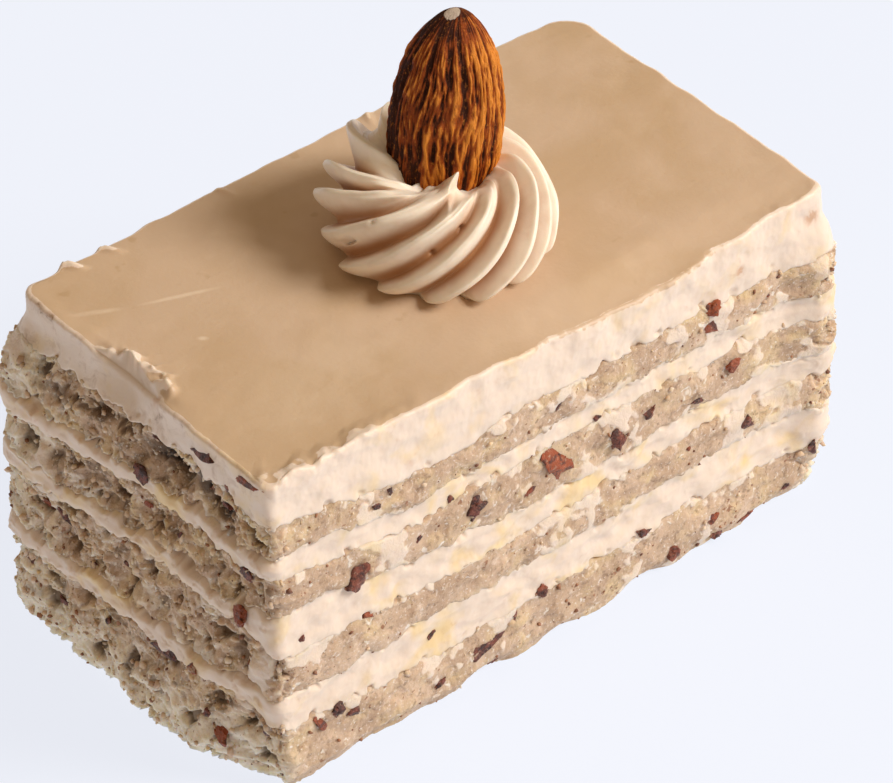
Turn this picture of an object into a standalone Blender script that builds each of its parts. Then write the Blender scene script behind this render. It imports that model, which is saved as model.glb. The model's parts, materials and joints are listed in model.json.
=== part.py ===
"""Cream pastry: a cut block of four nut sponges with three coffee fillings, thick coffee icing, a piped
rosette and one almond.

Sizes in this file are millimetres and become metres when a mesh is made. The long cut side faces -Y, the
short cut side with the bulging crumb faces -X, and +Z is up.
"""

import math
import random

import bmesh
import bpy
from mathutils import Matrix, Vector, noise

MM = 0.001

# The block
LENGTH = 78.0
WIDTH = 43.2
ICING_TOP = 43.2
GAP = 0.3
BLOCK_PLACE = (0.48, -0.21)
CORNER_RADII = {"front_left": 1.3, "front_right": 1.6, "back_right": 4.0, "back_left": 2.2}
RIM_POINTS = 104
INNER_INSET = 6.5
SIDE_BAND = 4.0

# Where one layer ends and the next begins, from the bottom: its height deep in the block, on the short cut
# side, and on the long cut side at five stations, where the knife has dragged the fillings wider
STATIONS = (-37.0, -18.5, 0.0, 18.5, 37.0)
SMEAR_DEPTH = 7.0
BOUNDARIES = (
    (9.0, 11.0, (8.8, 7.1, 7.4, 7.6, 7.2)),
    (12.0, 13.9, (13.2, 13.2, 12.8, 13.4, 13.1)),
    (19.0, 21.4, (18.9, 18.2, 17.5, 18.0, 18.0)),
    (22.0, 24.2, (25.6, 22.6, 21.2, 21.6, 21.1)),
    (27.6, 29.5, (29.8, 27.6, 28.1, 27.2, 26.3)),
    (30.6, 32.3, (33.4, 30.6, 30.5, 30.4, 29.8)),
    (36.2, 38.4, (37.6, 34.5, 35.1, 34.8, 34.4)),
)
LAYERS = ("sponge_1", "filling_1", "sponge_2", "filling_2", "sponge_3", "filling_3", "sponge_4", "icing")
BOUNDARY_WOBBLE = 0.55
WOBBLE_SIZE = 4.5

# How far the crumb stands out of the icing's plan. The short cut side leans out towards the bottom and
# towards the back
LEAN_BOTTOM = 3.7
LEAN_BOTTOM_ALONG = (-19.0, -10.0)
LEAN_UPPER = 3.4
LEAN_UPPER_ALONG = (-6.0, 20.0)
LEAN_UPPER_HEIGHT = 30.0
LEAN_ENDS_UNDER_ICING = (34.0, 41.0)
RIGHT_SWELL = 2.3
BACK_SWELL = 0.9
SWELL_RISES_OVER = (-3.0, 14.0)

# Crumb relief on the cut sides
SPONGE_RELIEF = 1.5
FILLING_RELIEF = 0.45
EDGE_RELIEF = 0.5
FINE_RELIEF_SHARE = 0.4
SPONGE_STANDS_OUT = 0.35
FILLING_STANDS_OUT = -0.1
SPONGE_ROWS = 4
FILLING_ROWS = 2
CRUMB_SIZE = 3.4
WORN_BOTTOM_EDGE = 1.1

# Icing
ICING_RELIEF = 0.35
ICING_EDGE = 0.5
ICING_WAVE = 0.25
ICING_WAVE_SIZE = 9.0
ICING_SHOULDER_SHARE = 0.45
ICING_WALL = ((0.33, 0.0), (0.66, 0.0), (0.93, 0.15))  # share of the height, how far in
FRONT_DIP = 1.6
FRONT_DIP_CENTRE = 12.0
FRONT_DIP_LENGTH = 15.0
SCOOP_CENTRE = 3.0
SCOOP_LENGTH = 5.0
SCOOP_DEPTH = 1.7
SCOOP_BAND = 3.0

# Rosette
ROSETTE_CENTRE = (1.3, -1.2)
ROSETTE_RIDGES = 13
POINTS_PER_RIDGE = 8
RIDGE_START = 1.7
# From the base up and into the hollow: radius, height, share of the ridge depth, turn of the ridges
ROSETTE_PROFILE = (
    (10.6, 0.0, 0.30, 0),
    (11.7, 0.8, 0.75, 5),
    (11.8, 2.7, 1.00, 18),
    (11.4, 4.9, 1.00, 33),
    (10.4, 7.0, 0.95, 48),
    (9.0, 8.7, 0.75, 64),
    (7.2, 9.6, 0.40, 79),
    (5.5, 9.0, 0.14, 90),
    (4.0, 7.6, 0.05, 98),
)
RIDGE_DEPTH = 2.2
RIDGE_MIDDLE = 0.6
RIDGE_RISE = 0.55
RISE_STARTS_OVER = (4.0, 9.0)
PETAL_DIRECTION = 114.0
PETAL_SPREAD = 32.0
PETAL_REACH = 2.4
PETAL_RISE = 0.8
PEAK_RADIUS = 4.0
PEAK_DIRECTION = -118.0
PEAK_HEIGHT = 2.3
PEAK_SPREAD = 1.26

# Almond
ALMOND_LENGTH = 24.6
ALMOND_WIDTH = 12.3
ALMOND_THICKNESS = 8.0
ALMOND_FOOT = 3.5
ALMOND_FACES = -129.3
ALMOND_LEANS_BACK = 8.0
ALMOND_LEANS_RIGHT = 2.6
ALMOND_SIDES = 24
ALMOND_RINGS = 14
ALMOND_WRINKLES = 9
WRINKLE_DEPTH = 0.16
ALMOND_WIDEST = 0.4

# Nut pieces on the cut sides: place along the side, height, and size along, up and out of the side
FRONT_NUTS = {
    "sponge_1": ((-10.8, 4.4, 6.2, 1.9, 1.9), (-29.7, 4.6, 4.4, 3.0, 2.2), (17.3, 2.6, 2.6, 2.4, 2.0),
                 (28.3, 2.4, 3.2, 2.0, 2.0), (-2.1, 5.2, 2.2, 2.4, 1.8)),
    "sponge_2": ((27.5, 15.6, 2.6, 2.4, 2.0), (-23.0, 16.0, 2.2, 1.6, 1.6)),
    "sponge_3": ((0.7, 24.9, 4.6, 4.8, 2.6), (-11.9, 25.2, 3.4, 3.2, 2.2), (-28.2, 26.4, 3.2, 3.4, 2.2),
                 (8.4, 24.4, 2.6, 3.4, 2.0), (25.5, 24.6, 2.8, 2.3, 2.0)),
    "sponge_4": ((22.2, 32.6, 3.2, 3.2, 2.2), (0.4, 32.9, 1.6, 2.3, 1.6)),
}
LEFT_NUTS = {
    "sponge_1": ((-1.5, 5.6, 4.2, 1.6, 1.8), (-8.5, 2.4, 2.8, 2.2, 1.8), (14.0, 2.6, 2.0, 1.2, 1.6)),
    "sponge_2": ((-14.5, 17.0, 2.6, 2.6, 2.0), (14.0, 15.8, 3.2, 1.6, 1.8)),
    "sponge_3": ((-14.5, 25.6, 2.2, 2.2, 1.8), (1.5, 25.4, 2.1, 1.4, 1.6)),
    "sponge_4": ((-9.0, 33.4, 3.2, 2.6, 2.0), (1.6, 33.0, 2.4, 2.6, 1.8)),
}
HIDDEN_LONG_SIDE_NUTS = (-0.36, 0.0, 0.36)
HIDDEN_SHORT_SIDE_NUTS = (-0.22, 0.2)
NUT_OUT = 1.8
NUT_SEED = 11

# Colour, roughness
SPONGE_LOOK = ((0.60, 0.50, 0.38), 0.85)
FILLING_LOOK = ((0.80, 0.66, 0.48), 0.55)
ICING_LOOK = ((0.62, 0.44, 0.28), 0.45)
ROSETTE_LOOK = ((0.70, 0.54, 0.38), 0.45)
ALMOND_LOOK = ((0.22, 0.07, 0.02), 0.55)


def smooth_step(low, high, value):
    """0 below low, 1 above high, and an even curve between."""
    share = min(max((value - low) / (high - low), 0.0), 1.0)
    return share * share * (3.0 - 2.0 * share)


def blend(first, second, share):
    return first + (second - first) * share


def bump_at(value, centre, width):
    return math.exp(-(((value - centre) / width) ** 2))


def make_material(name, look):
    colour, roughness = look
    material = bpy.data.materials.new(name)
    material.use_nodes = True
    shader = material.node_tree.nodes["Principled BSDF"]
    shader.inputs["Base Color"].default_value = (*colour, 1.0)
    shader.inputs["Roughness"].default_value = roughness
    shader.inputs["Metallic"].default_value = 0.0
    return material


def make_object(name, mesh_data, material):
    """An object from a bmesh in millimetres, its faces turned outwards."""
    bmesh.ops.recalc_face_normals(mesh_data, faces=mesh_data.faces[:])
    mesh_data.transform(Matrix.Scale(MM, 4))
    mesh = bpy.data.meshes.new(name)
    mesh_data.to_mesh(mesh)
    mesh_data.free()
    mesh.shade_smooth()
    mesh.set_sharp_from_angle(angle=math.radians(50))
    mesh.materials.append(material)
    piece = bpy.data.objects.new(name, mesh)
    bpy.context.scene.collection.objects.link(piece)
    return piece


def stitch(mesh_data, lower, upper):
    """Joins two rings with faces. One of them may have half as many points as the other."""
    if len(lower) == len(upper):
        for this in range(len(lower)):
            after = (this + 1) % len(lower)
            mesh_data.faces.new((lower[this], lower[after], upper[after], upper[this]))
        return
    fine, coarse = (lower, upper) if len(lower) > len(upper) else (upper, lower)
    for this in range(len(coarse)):
        after = (this + 1) % len(coarse)
        start, middle, end = (fine[(2 * this + step) % len(fine)] for step in range(3))
        mesh_data.faces.new((start, middle, coarse[this]))
        mesh_data.faces.new((middle, end, coarse[after]))
        mesh_data.faces.new((middle, coarse[after], coarse[this]))


def body_from_rings(rings):
    """A closed bmesh whose skin runs through the rings, with a face across the first and the last."""
    mesh_data = bmesh.new()
    made = [[mesh_data.verts.new(point) for point in ring] for ring in rings]
    for lower, upper in zip(made, made[1:]):
        stitch(mesh_data, lower, upper)
    mesh_data.faces.new(made[0])
    mesh_data.faces.new(made[-1])
    return mesh_data


def block_plan(count):
    """Evenly spaced points round the block's plan, anticlockwise, each with its outward direction."""
    arc_steps = 8
    starts = {"front_left": 180, "front_right": 270, "back_right": 0, "back_left": 90}
    path = []
    for corner, start in starts.items():
        radius = CORNER_RADII[corner]
        centre_x = (LENGTH / 2 - radius) * (1 if "right" in corner else -1)
        centre_y = (WIDTH / 2 - radius) * (1 if "back" in corner else -1)
        for step in range(arc_steps + 1):
            angle = math.radians(start + 90 * step / arc_steps)
            path.append(Vector((centre_x + radius * math.cos(angle), centre_y + radius * math.sin(angle))))
    path.append(path[0])
    lengths = [(after - before).length for before, after in zip(path, path[1:])]
    spacing = sum(lengths) / count
    points = []
    piece, walked = 0, 0.0
    for index in range(count):
        while walked + lengths[piece] < index * spacing:
            walked += lengths[piece]
            piece += 1
        share = (index * spacing - walked) / lengths[piece]
        points.append(path[piece].lerp(path[piece + 1], share))
    plan = []
    for index, point in enumerate(points):
        along = points[(index + 1) % count] - points[index - 1]
        plan.append((point, Vector((along.y, -along.x)).normalized()))
    return plan


def front_height(heights, x):
    """The smooth curve through a boundary's heights at the stations."""
    for left, right, low, high in zip(STATIONS, STATIONS[1:], heights, heights[1:]):
        if x <= right:
            return blend(low, high, smooth_step(left, right, x))
    return heights[-1]


def inset_share(x, y):
    """0 at the rim of the block and 1 from INNER_INSET on, where every layer is flat."""
    depth = min(LENGTH / 2 - abs(x), WIDTH / 2 - abs(y))
    return smooth_step(0.0, INNER_INSET, depth)


def boundary_height(number, x, y):
    core, left, front = BOUNDARIES[number]
    height = blend(left, core, smooth_step(0.0, SMEAR_DEPTH, x + LENGTH / 2))
    height = blend(front_height(front, x), height, smooth_step(0.0, SMEAR_DEPTH, y + WIDTH / 2))
    height += BOUNDARY_WOBBLE * noise.noise(Vector((x, y, 31.7 * number)) / WOBBLE_SIZE)
    return blend(height, core, inset_share(x, y))


def scoop_depth(x, y):
    """How much cream is torn away at the short cut side."""
    at_left = smooth_step(-LENGTH / 2 + SCOOP_BAND, -LENGTH / 2, x)
    return SCOOP_DEPTH * bump_at(y, SCOOP_CENTRE, SCOOP_LENGTH) * at_left


def icing_height(x, y):
    """The icing's upper face: level inside, dipping along the middle of the front edge."""
    at_front = smooth_step(0.0, -WIDTH / 2, y)
    dip = FRONT_DIP * bump_at(x, FRONT_DIP_CENTRE, FRONT_DIP_LENGTH) * at_front
    wave = ICING_WAVE * noise.noise(Vector((x, y, 90.0)) / ICING_WAVE_SIZE)
    scoop = scoop_depth(x, y)
    return ICING_TOP - (dip + scoop + wave) * (1.0 - inset_share(x, y))


def side_swell(point, height):
    """How far a cut side leans out of the block's plan at this place."""
    x, y = point
    at_left = smooth_step(-LENGTH / 2 + SIDE_BAND, -LENGTH / 2, x)
    at_right = smooth_step(LENGTH / 2 - SIDE_BAND, LENGTH / 2, x)
    at_back = smooth_step(WIDTH / 2 - SIDE_BAND, WIDTH / 2, y) * (1.0 - at_left)
    bottom_lean = LEAN_BOTTOM * smooth_step(*LEAN_BOTTOM_ALONG, y)
    upper_lean = LEAN_UPPER * smooth_step(*LEAN_UPPER_ALONG, y)
    lean = blend(bottom_lean, upper_lean, min(height / LEAN_UPPER_HEIGHT, 1.0))
    under_icing = 1.0 - smooth_step(*LEAN_ENDS_UNDER_ICING, height)
    off_the_base = smooth_step(*SWELL_RISES_OVER, height)
    hidden_swell = (RIGHT_SWELL * at_right + BACK_SWELL * at_back) * off_the_base
    return (at_left * lean + hidden_swell) * under_icing


def crumb(point, height, size, seed):
    return noise.noise(Vector((point.x, point.y, height * 1.3 + seed)) / size)


def boundary_ring(plan, number, lift):
    """The rim that two layers share at a boundary, lifted or lowered by half the gap."""
    ring = []
    for point, outward in plan:
        height = boundary_height(number, point.x, point.y)
        reach = side_swell(point, height) + EDGE_RELIEF * crumb(point, height, CRUMB_SIZE, 50.0)
        place = point + outward * reach
        ring.append(Vector((place.x, place.y, height + lift)))
    return ring


def cap_ring(plan, height, share):
    """The ring inside the rim of a layer's upper or lower face, with half as many points."""
    scale_x = 1.0 - share * INNER_INSET / (LENGTH / 2)
    scale_y = 1.0 - share * INNER_INSET / (WIDTH / 2)
    ring = []
    for point, _ in plan[::2]:
        ring.append(Vector((point.x * scale_x, point.y * scale_y, height)))
    return ring


def wall_ring(plan, low_ring, high_ring, share, relief, stand_out, seed):
    """A ring between a layer's lower and upper rims, pushed out and in by its crumb."""
    middle = math.sin(math.pi * share) ** 0.6
    ring = []
    for (point, outward), low, high in zip(plan, low_ring, high_ring):
        height = blend(low.z, high.z, share)
        push = stand_out + relief * crumb(point, height, CRUMB_SIZE, seed)
        push += FINE_RELIEF_SHARE * relief * crumb(point, height, 0.5 * CRUMB_SIZE, seed + 9.0)
        reach = side_swell(point, height) + push * middle
        place = point + outward * reach
        ring.append(Vector((place.x, place.y, height)))
    return ring


def make_layer(name, number, plan, material):
    """A sponge or a filling between two boundaries."""
    sponge = name.startswith("sponge")
    rows = SPONGE_ROWS if sponge else FILLING_ROWS
    relief = SPONGE_RELIEF if sponge else FILLING_RELIEF
    stand_out = SPONGE_STANDS_OUT if sponge else FILLING_STANDS_OUT
    if number == 0:
        low = base_ring(plan)
        low_cap = cap_ring(plan, 0.0, 1.0)
    else:
        low = boundary_ring(plan, number - 1, GAP / 2)
        low_cap = cap_ring(plan, BOUNDARIES[number - 1][0] + GAP / 2, 1.0)
    high = boundary_ring(plan, number, -GAP / 2)
    high_cap = cap_ring(plan, BOUNDARIES[number][0] - GAP / 2, 1.0)
    walls = [
        wall_ring(plan, low, high, row / rows, relief, stand_out, 40.0 * number)
        for row in range(1, rows)
    ]
    return make_object(name, body_from_rings([low_cap, low, *walls, high, high_cap]), material)


def base_ring(plan):
    """The foot of the lowest sponge, worn back in places and flat on the plate."""
    ring = []
    for point, outward in plan:
        worn = WORN_BOTTOM_EDGE * (0.6 + crumb(point, 0.0, 1.6 * CRUMB_SIZE, 3.0))
        place = point + outward * (side_swell(point, 0.0) - worn)
        ring.append(Vector((place.x, place.y, 0.0)))
    return ring


def make_icing(plan, material):
    """The thick top cream, with a softened edge and a scoop torn out of the short side."""
    low = boundary_ring(plan, len(BOUNDARIES) - 1, GAP / 2)
    rings = [cap_ring(plan, BOUNDARIES[-1][0] + GAP / 2, 1.0), low]
    top_rim = []
    for point, outward in plan:
        place = point - outward * ICING_EDGE
        top_rim.append(Vector((place.x, place.y, icing_height(point.x, point.y))))
    for share, inward in ICING_WALL:
        ring = []
        for (point, outward), below, above in zip(plan, low, top_rim):
            height = blend(below.z, above.z, share)
            torn = scoop_depth(point.x, point.y) * share
            push = ICING_RELIEF * crumb(point, height, CRUMB_SIZE, 77.0)
            place = point + outward * (side_swell(point, height) + push - inward - torn)
            ring.append(Vector((place.x, place.y, height)))
        rings.append(ring)
    rings.append(top_rim)
    shoulder = cap_ring(plan, 0.0, ICING_SHOULDER_SHARE)
    for point in shoulder:
        point.z = icing_height(point.x, point.y)
    rings.append(shoulder)
    inner = [Vector((point.x, point.y, ICING_TOP)) for point in cap_ring(plan, ICING_TOP, 1.0)[::2]]
    rings.append(inner)
    return make_object("icing", body_from_rings(rings), material)


def make_nut(place, outward, size, seed):
    """A chopped nut piece: a rough faceted lump, flatter towards its ends."""
    along, up, out = size
    mesh_data = bmesh.new()
    bmesh.ops.create_icosphere(mesh_data, subdivisions=1, radius=0.5)
    draw = random.Random(seed)
    for vertex in mesh_data.verts:
        vertex.co *= draw.uniform(0.86, 1.12)
    side = Vector((-outward.y, outward.x, 0.0))
    turn = Matrix((side, Vector((outward.x, outward.y, 0.0)), Vector((0.0, 0.0, 1.0)))).transposed()
    tilt = Matrix.Rotation(draw.uniform(-0.35, 0.35), 3, "Y")
    mesh_data.transform((turn @ tilt @ Matrix.Diagonal((along, out, up))).to_4x4())
    mesh_data.transform(Matrix.Translation(place))
    return mesh_data


def nut_places(name, plan, number):
    """Where a sponge's nut pieces lie: those of the two shown sides, and drawn ones on the others."""
    half_length, half_width = LENGTH / 2, WIDTH / 2
    places = []
    for along, height, *size in FRONT_NUTS[name]:
        places.append((Vector((along, -half_width)), Vector((0.0, -1.0)), height, size))
    for along, height, *size in LEFT_NUTS[name]:
        places.append((Vector((-half_length, along)), Vector((-1.0, 0.0)), height, size))
    draw = random.Random(NUT_SEED + number)
    under = BOUNDARIES[number - 1][0] if number > 0 else 0.0
    middle = (under + BOUNDARIES[number][0]) / 2
    for share in HIDDEN_LONG_SIDE_NUTS:
        spot = (share + draw.uniform(-0.06, 0.06)) * LENGTH
        size = (draw.uniform(2.0, 3.6), draw.uniform(1.6, 2.6), NUT_OUT)
        places.append((Vector((spot, half_width)), Vector((0.0, 1.0)), middle, size))
    for share in HIDDEN_SHORT_SIDE_NUTS:
        size = (draw.uniform(2.0, 3.4), draw.uniform(1.6, 2.6), NUT_OUT)
        height = middle + draw.uniform(-0.4, 0.4)
        places.append((Vector((half_length, share * WIDTH)), Vector((1.0, 0.0)), height, size))
    return places


def fuse_nuts(sponge, name, plan, number):
    """Joins a sponge with its nut pieces by one Boolean union."""
    pieces = bpy.data.collections.new(name + "_nuts")
    bpy.context.scene.collection.children.link(pieces)
    for index, (spot, outward, height, size) in enumerate(nut_places(name, plan, number)):
        reach = side_swell(spot, height) + SPONGE_STANDS_OUT
        place = Vector((spot.x + outward.x * reach, spot.y + outward.y * reach, height))
        nut = make_object(f"{name}_nut_{index}", make_nut(place, outward, size, 100 * number + index),
                          sponge.data.materials[0])
        bpy.context.scene.collection.objects.unlink(nut)
        pieces.objects.link(nut)
    union = sponge.modifiers.new("nuts", "BOOLEAN")
    union.operation = "UNION"
    union.operand_type = "COLLECTION"
    union.collection = pieces
    with bpy.context.temp_override(object=sponge, active_object=sponge):
        bpy.ops.object.modifier_apply(modifier=union.name)
    for nut in list(pieces.objects):
        bpy.data.objects.remove(nut)
    bpy.data.collections.remove(pieces)


def ridge_wave(phase):
    """1 on a ridge's rounded crest and 0 in the sharp valley beside it."""
    return abs(math.cos(phase / 2)) ** 0.85


def make_rosette(material):
    """The piped swirl: star ridges that wind down and out from a hollow round the almond."""
    count = ROSETTE_RIDGES * POINTS_PER_RIDGE
    centre = Vector((*ROSETTE_CENTRE, ICING_TOP + GAP))
    rings = []
    for row, (radius, height, depth, sweep) in enumerate(ROSETTE_PROFILE):
        ring = []
        for index in range(count):
            turn = 2 * math.pi * index / count
            angle = turn + math.radians(RIDGE_START + sweep)
            petal = bump_at((math.degrees(angle) - PETAL_DIRECTION + 180) % 360 - 180, 0.0, PETAL_SPREAD)
            wave = ridge_wave(turn * ROSETTE_RIDGES)
            uneven = 1.0 + 0.18 * math.sin(3 * turn + 0.7) + 0.1 * math.sin(5 * turn)
            push = RIDGE_DEPTH * depth * uneven * (wave - RIDGE_MIDDLE)
            reach = radius + push + PETAL_REACH * petal * wave * depth
            rise = RIDGE_RISE * push + PETAL_RISE * petal * wave * depth
            rise *= smooth_step(*RISE_STARTS_OVER, height)
            place = centre + Vector((reach * math.cos(angle), reach * math.sin(angle), height + rise))
            if row > 0:
                peak = math.radians(PEAK_DIRECTION)
                tip = centre + PEAK_RADIUS * Vector((math.cos(peak), math.sin(peak), 0.0))
                place.z += PEAK_HEIGHT * bump_at((place - tip).xy.length, 0.0, PEAK_SPREAD)
            else:
                place.z = centre.z
            ring.append(place)
        rings.append(ring)
    return make_object("rosette", body_from_rings(rings), material)


def almond_frame():
    """Places the almond: its broad side faces the shown corner, and its top leans back and to the right."""
    facing = math.radians(ALMOND_FACES)
    front = Vector((math.cos(facing), math.sin(facing), 0.0))
    right = Vector((-front.y, front.x, 0.0))
    upright = Matrix((right, -front, Vector((0.0, 0.0, 1.0)))).transposed()
    lean = Matrix.Rotation(math.radians(-ALMOND_LEANS_BACK), 3, "X")
    lean = Matrix.Rotation(math.radians(ALMOND_LEANS_RIGHT), 3, "Y") @ lean
    foot = Vector((*ROSETTE_CENTRE, ICING_TOP + ALMOND_FOOT))
    return Matrix.Translation(foot) @ (upright @ lean).to_4x4()


def almond_width(share):
    """The almond's width at a share of its height: round foot, widest below the middle, narrow top."""
    if share < ALMOND_WIDEST:
        return (1.0 - (1.0 - share / ALMOND_WIDEST) ** 1.9) ** 0.6
    return (1.0 - ((share - ALMOND_WIDEST) / (1.0 - ALMOND_WIDEST)) ** 2.2) ** 0.58


def make_almond(name, grow, wrinkles, material):
    """The almond, or the slightly larger body that makes its socket."""
    rings = []
    for row in range(1, ALMOND_RINGS):
        share = 0.5 - 0.5 * math.cos(math.pi * row / ALMOND_RINGS)
        width = almond_width(share)
        height = share * (ALMOND_LENGTH + 2 * grow) - grow
        ring = []
        for index in range(ALMOND_SIDES):
            angle = 2 * math.pi * index / ALMOND_SIDES
            groove = wrinkles * width * math.cos(ALMOND_WRINKLES * angle + 1.3 * math.sin(5 * share))
            across = (ALMOND_WIDTH / 2 * width + grow + groove) * math.cos(angle)
            through = (ALMOND_THICKNESS / 2 * width + grow + groove) * math.sin(angle)
            ring.append(Vector((across, through, height)))
        rings.append(ring)
    mesh_data = body_from_rings(rings)
    mesh_data.transform(almond_frame())
    return make_object(name, mesh_data, material)


def cut_socket(rosette, socket):
    """The rosette closes round the almond's foot."""
    socket.hide_render = True
    socket.display_type = "WIRE"
    cut = rosette.modifiers.new("almond_socket", "BOOLEAN")
    cut.operation = "DIFFERENCE"
    cut.solver = "MANIFOLD"
    cut.object = socket


def stand_over_origin(pieces):
    """Moves the whole pastry so that the middle of its box stands over the origin."""
    shift = Matrix.Translation(Vector((*BLOCK_PLACE, 0.0)) * MM)
    for piece in pieces:
        piece.data.transform(shift)


def main():
    for existing in list(bpy.data.objects):
        bpy.data.objects.remove(existing)
    plan = block_plan(RIM_POINTS)
    sponge_look = make_material("nut_sponge", SPONGE_LOOK)
    filling_look = make_material("coffee_filling", FILLING_LOOK)
    pieces = []
    for number, name in enumerate(LAYERS[:-1]):
        if name.startswith("sponge"):
            layer = make_layer(name, number, plan, sponge_look)
            fuse_nuts(layer, name, plan, number)
        else:
            layer = make_layer(name, number, plan, filling_look)
        pieces.append(layer)
    pieces.append(make_icing(plan, make_material("coffee_icing", ICING_LOOK)))
    rosette = make_rosette(make_material("piped_cream", ROSETTE_LOOK))
    almond_look = make_material("almond_skin", ALMOND_LOOK)
    almond = make_almond("almond", 0.0, WRINKLE_DEPTH, almond_look)
    socket = make_almond("almond_socket", WRINKLE_DEPTH + GAP, 0.0, almond_look)
    cut_socket(rosette, socket)
    pieces += [rosette, almond, socket]
    stand_over_origin(pieces)


main()
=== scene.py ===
"""Cream pastry: a cut block of nut sponge, coffee cream and thick coffee icing, with a piped rosette and a
whole almond standing in it.

Sizes in the functions below are millimetres, and become metres when a piece is finished. The long cut side
faces -Y, the short cut side with the bulging crumb faces -X, and +Z is up.
"""

import json
import math
import random

import bmesh
import bpy
import numpy as np
from bpy.props import FloatProperty, FloatVectorProperty, PointerProperty
from mathutils import Matrix, Vector, noise

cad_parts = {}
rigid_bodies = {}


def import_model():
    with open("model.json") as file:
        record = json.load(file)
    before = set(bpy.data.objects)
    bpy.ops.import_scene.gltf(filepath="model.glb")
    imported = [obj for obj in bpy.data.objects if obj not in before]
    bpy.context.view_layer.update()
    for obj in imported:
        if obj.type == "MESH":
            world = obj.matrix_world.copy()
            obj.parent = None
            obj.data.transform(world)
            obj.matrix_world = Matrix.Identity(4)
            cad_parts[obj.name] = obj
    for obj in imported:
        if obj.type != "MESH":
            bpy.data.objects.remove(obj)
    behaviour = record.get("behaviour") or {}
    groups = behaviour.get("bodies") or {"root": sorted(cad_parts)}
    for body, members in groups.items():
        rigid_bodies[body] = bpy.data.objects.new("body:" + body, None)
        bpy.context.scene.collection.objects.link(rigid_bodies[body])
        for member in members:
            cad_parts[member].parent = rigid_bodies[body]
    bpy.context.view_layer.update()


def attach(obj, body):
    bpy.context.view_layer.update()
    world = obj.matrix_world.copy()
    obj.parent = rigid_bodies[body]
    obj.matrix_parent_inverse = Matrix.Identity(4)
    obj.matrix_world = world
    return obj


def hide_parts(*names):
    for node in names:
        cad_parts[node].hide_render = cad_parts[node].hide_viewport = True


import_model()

bl_info = {
    "name": "Cream Pastry",
    "version": (1, 0, 0),
    "blender": (4, 5, 0),
    "location": "View3D > Sidebar > Pastry",
    "description": "Builds a cut cream pastry from its sponges up to the almond on top",
    "category": "Object",
}

MM = 0.001

# The block, as its solids have it
BLOCK_PLACE = (0.48, -0.21)
CORNER_RADII = {"front_left": 1.3, "front_right": 1.6, "back_right": 4.0, "back_left": 2.2}
# Inside the block each layer's ends step in from its rim to flat middles: how far in, and the share of the way
INNER_INSET = 6.5
END_INSETS = (0.0, 3.0, INNER_INSET)
END_SHARES = (0.0, 0.5, 1.0)
END_RINGS = 2
SIDE_BAND = 4.0
RIGHT_SIDE_BAND = 7.2
ARC_STEPS = 24
NORMAL_REACH = 0.3
LAYERS = ("sponge_1", "filling_1", "sponge_2", "filling_2", "sponge_3", "filling_3", "sponge_4", "icing")
STATIONS = (-37.0, -18.5, 0.0, 18.5, 37.0)
SMEAR_DEPTH = 7.0
# Where one layer ends and the next begins: deep in the block, on the short cut side, and along the long one
BOUNDARIES = (
    (9.0, 11.0, (8.8, 7.1, 7.4, 7.6, 7.2)),
    (12.0, 13.9, (13.2, 13.2, 12.8, 13.4, 13.1)),
    (19.0, 21.4, (18.9, 18.2, 17.5, 18.0, 18.0)),
    (22.0, 24.2, (25.6, 22.6, 21.2, 21.6, 21.1)),
    (27.6, 29.5, (29.8, 27.6, 28.1, 27.2, 26.3)),
    (30.6, 32.3, (33.4, 30.6, 30.5, 30.4, 29.8)),
    (36.2, 38.4, (37.6, 34.5, 35.1, 34.8, 34.4)),
)
BOUNDARY_WOBBLE = 0.55
WOBBLE_SIZE = 4.5
# How far the short side leans out at its bottom and higher up, and where along the side that begins and is full
LEAN_BOTTOM = 3.7
LEAN_BOTTOM_ALONG = (-19.0, -10.0)
LEAN_UPPER = 3.4
LEAN_UPPER_ALONG = (-6.0, 20.0)
LEAN_UPPER_HEIGHT = 30.0
LEAN_ENDS_UNDER_ICING = (34.0, 41.0)
RIGHT_SWELL = 2.3
BACK_SWELL = 0.9
SWELL_RISES_OVER = (-3.0, 14.0)
EDGE_RELIEF = 0.5
CRUMB_SIZE = 3.4
WORN_BOTTOM_EDGE = 1.1
WORN_UP_TO = 2.2

# Icing
ICING_RELIEF = 0.35
ICING_EDGE = 0.5
ICING_WAVE = 0.25
ICING_WAVE_SIZE = 9.0
FRONT_DIP = 1.6
FRONT_DIP_CENTRE = 12.0
FRONT_DIP_LENGTH = 15.0
SCOOP_CENTRE = 3.0
SCOOP_LENGTH = 5.0
SCOOP_DEPTH = 1.7
SCOOP_BAND = 3.0
RINGS_NEAR_RIM, RING_STEP, RING_GROWTH = 24, 0.2, 1.34
RINGS_REACH = 17.0
ICING_ROWS = 38
# The topmost rows go round the icing's edge, through this angle
EDGE_ROWS = 6
EDGE_TURN = math.radians(80)
# How far in from a side its rim is pushed up
RIM_BAND, BACK_RIM_BAND = 3.0, 2.0
# Small torn tufts of cream on the back edge: along it, and how tall
BACK_TUFTS = ((-32.9, 0.9), (-28.1, 0.6), (-12.0, 0.3), (9.0, 0.35), (21.0, 0.3))
TUFT_WIDTH = 0.5

# Columns round the block: near its two shown sides they stand closer together
FINE_SPACING = 0.16
COARSE_SPACING = 0.27
COARSE_FROM, COARSE_TO = 80.0, 196.0
ROW_HEIGHT = 0.17
OVERLAP = 0.6
TUCK = 1.3
EDGE_TEAR = 0.5
# How far the rings in the ends of a blank reach in, as a share of its radius
BLANK_INSET = 0.8

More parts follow.
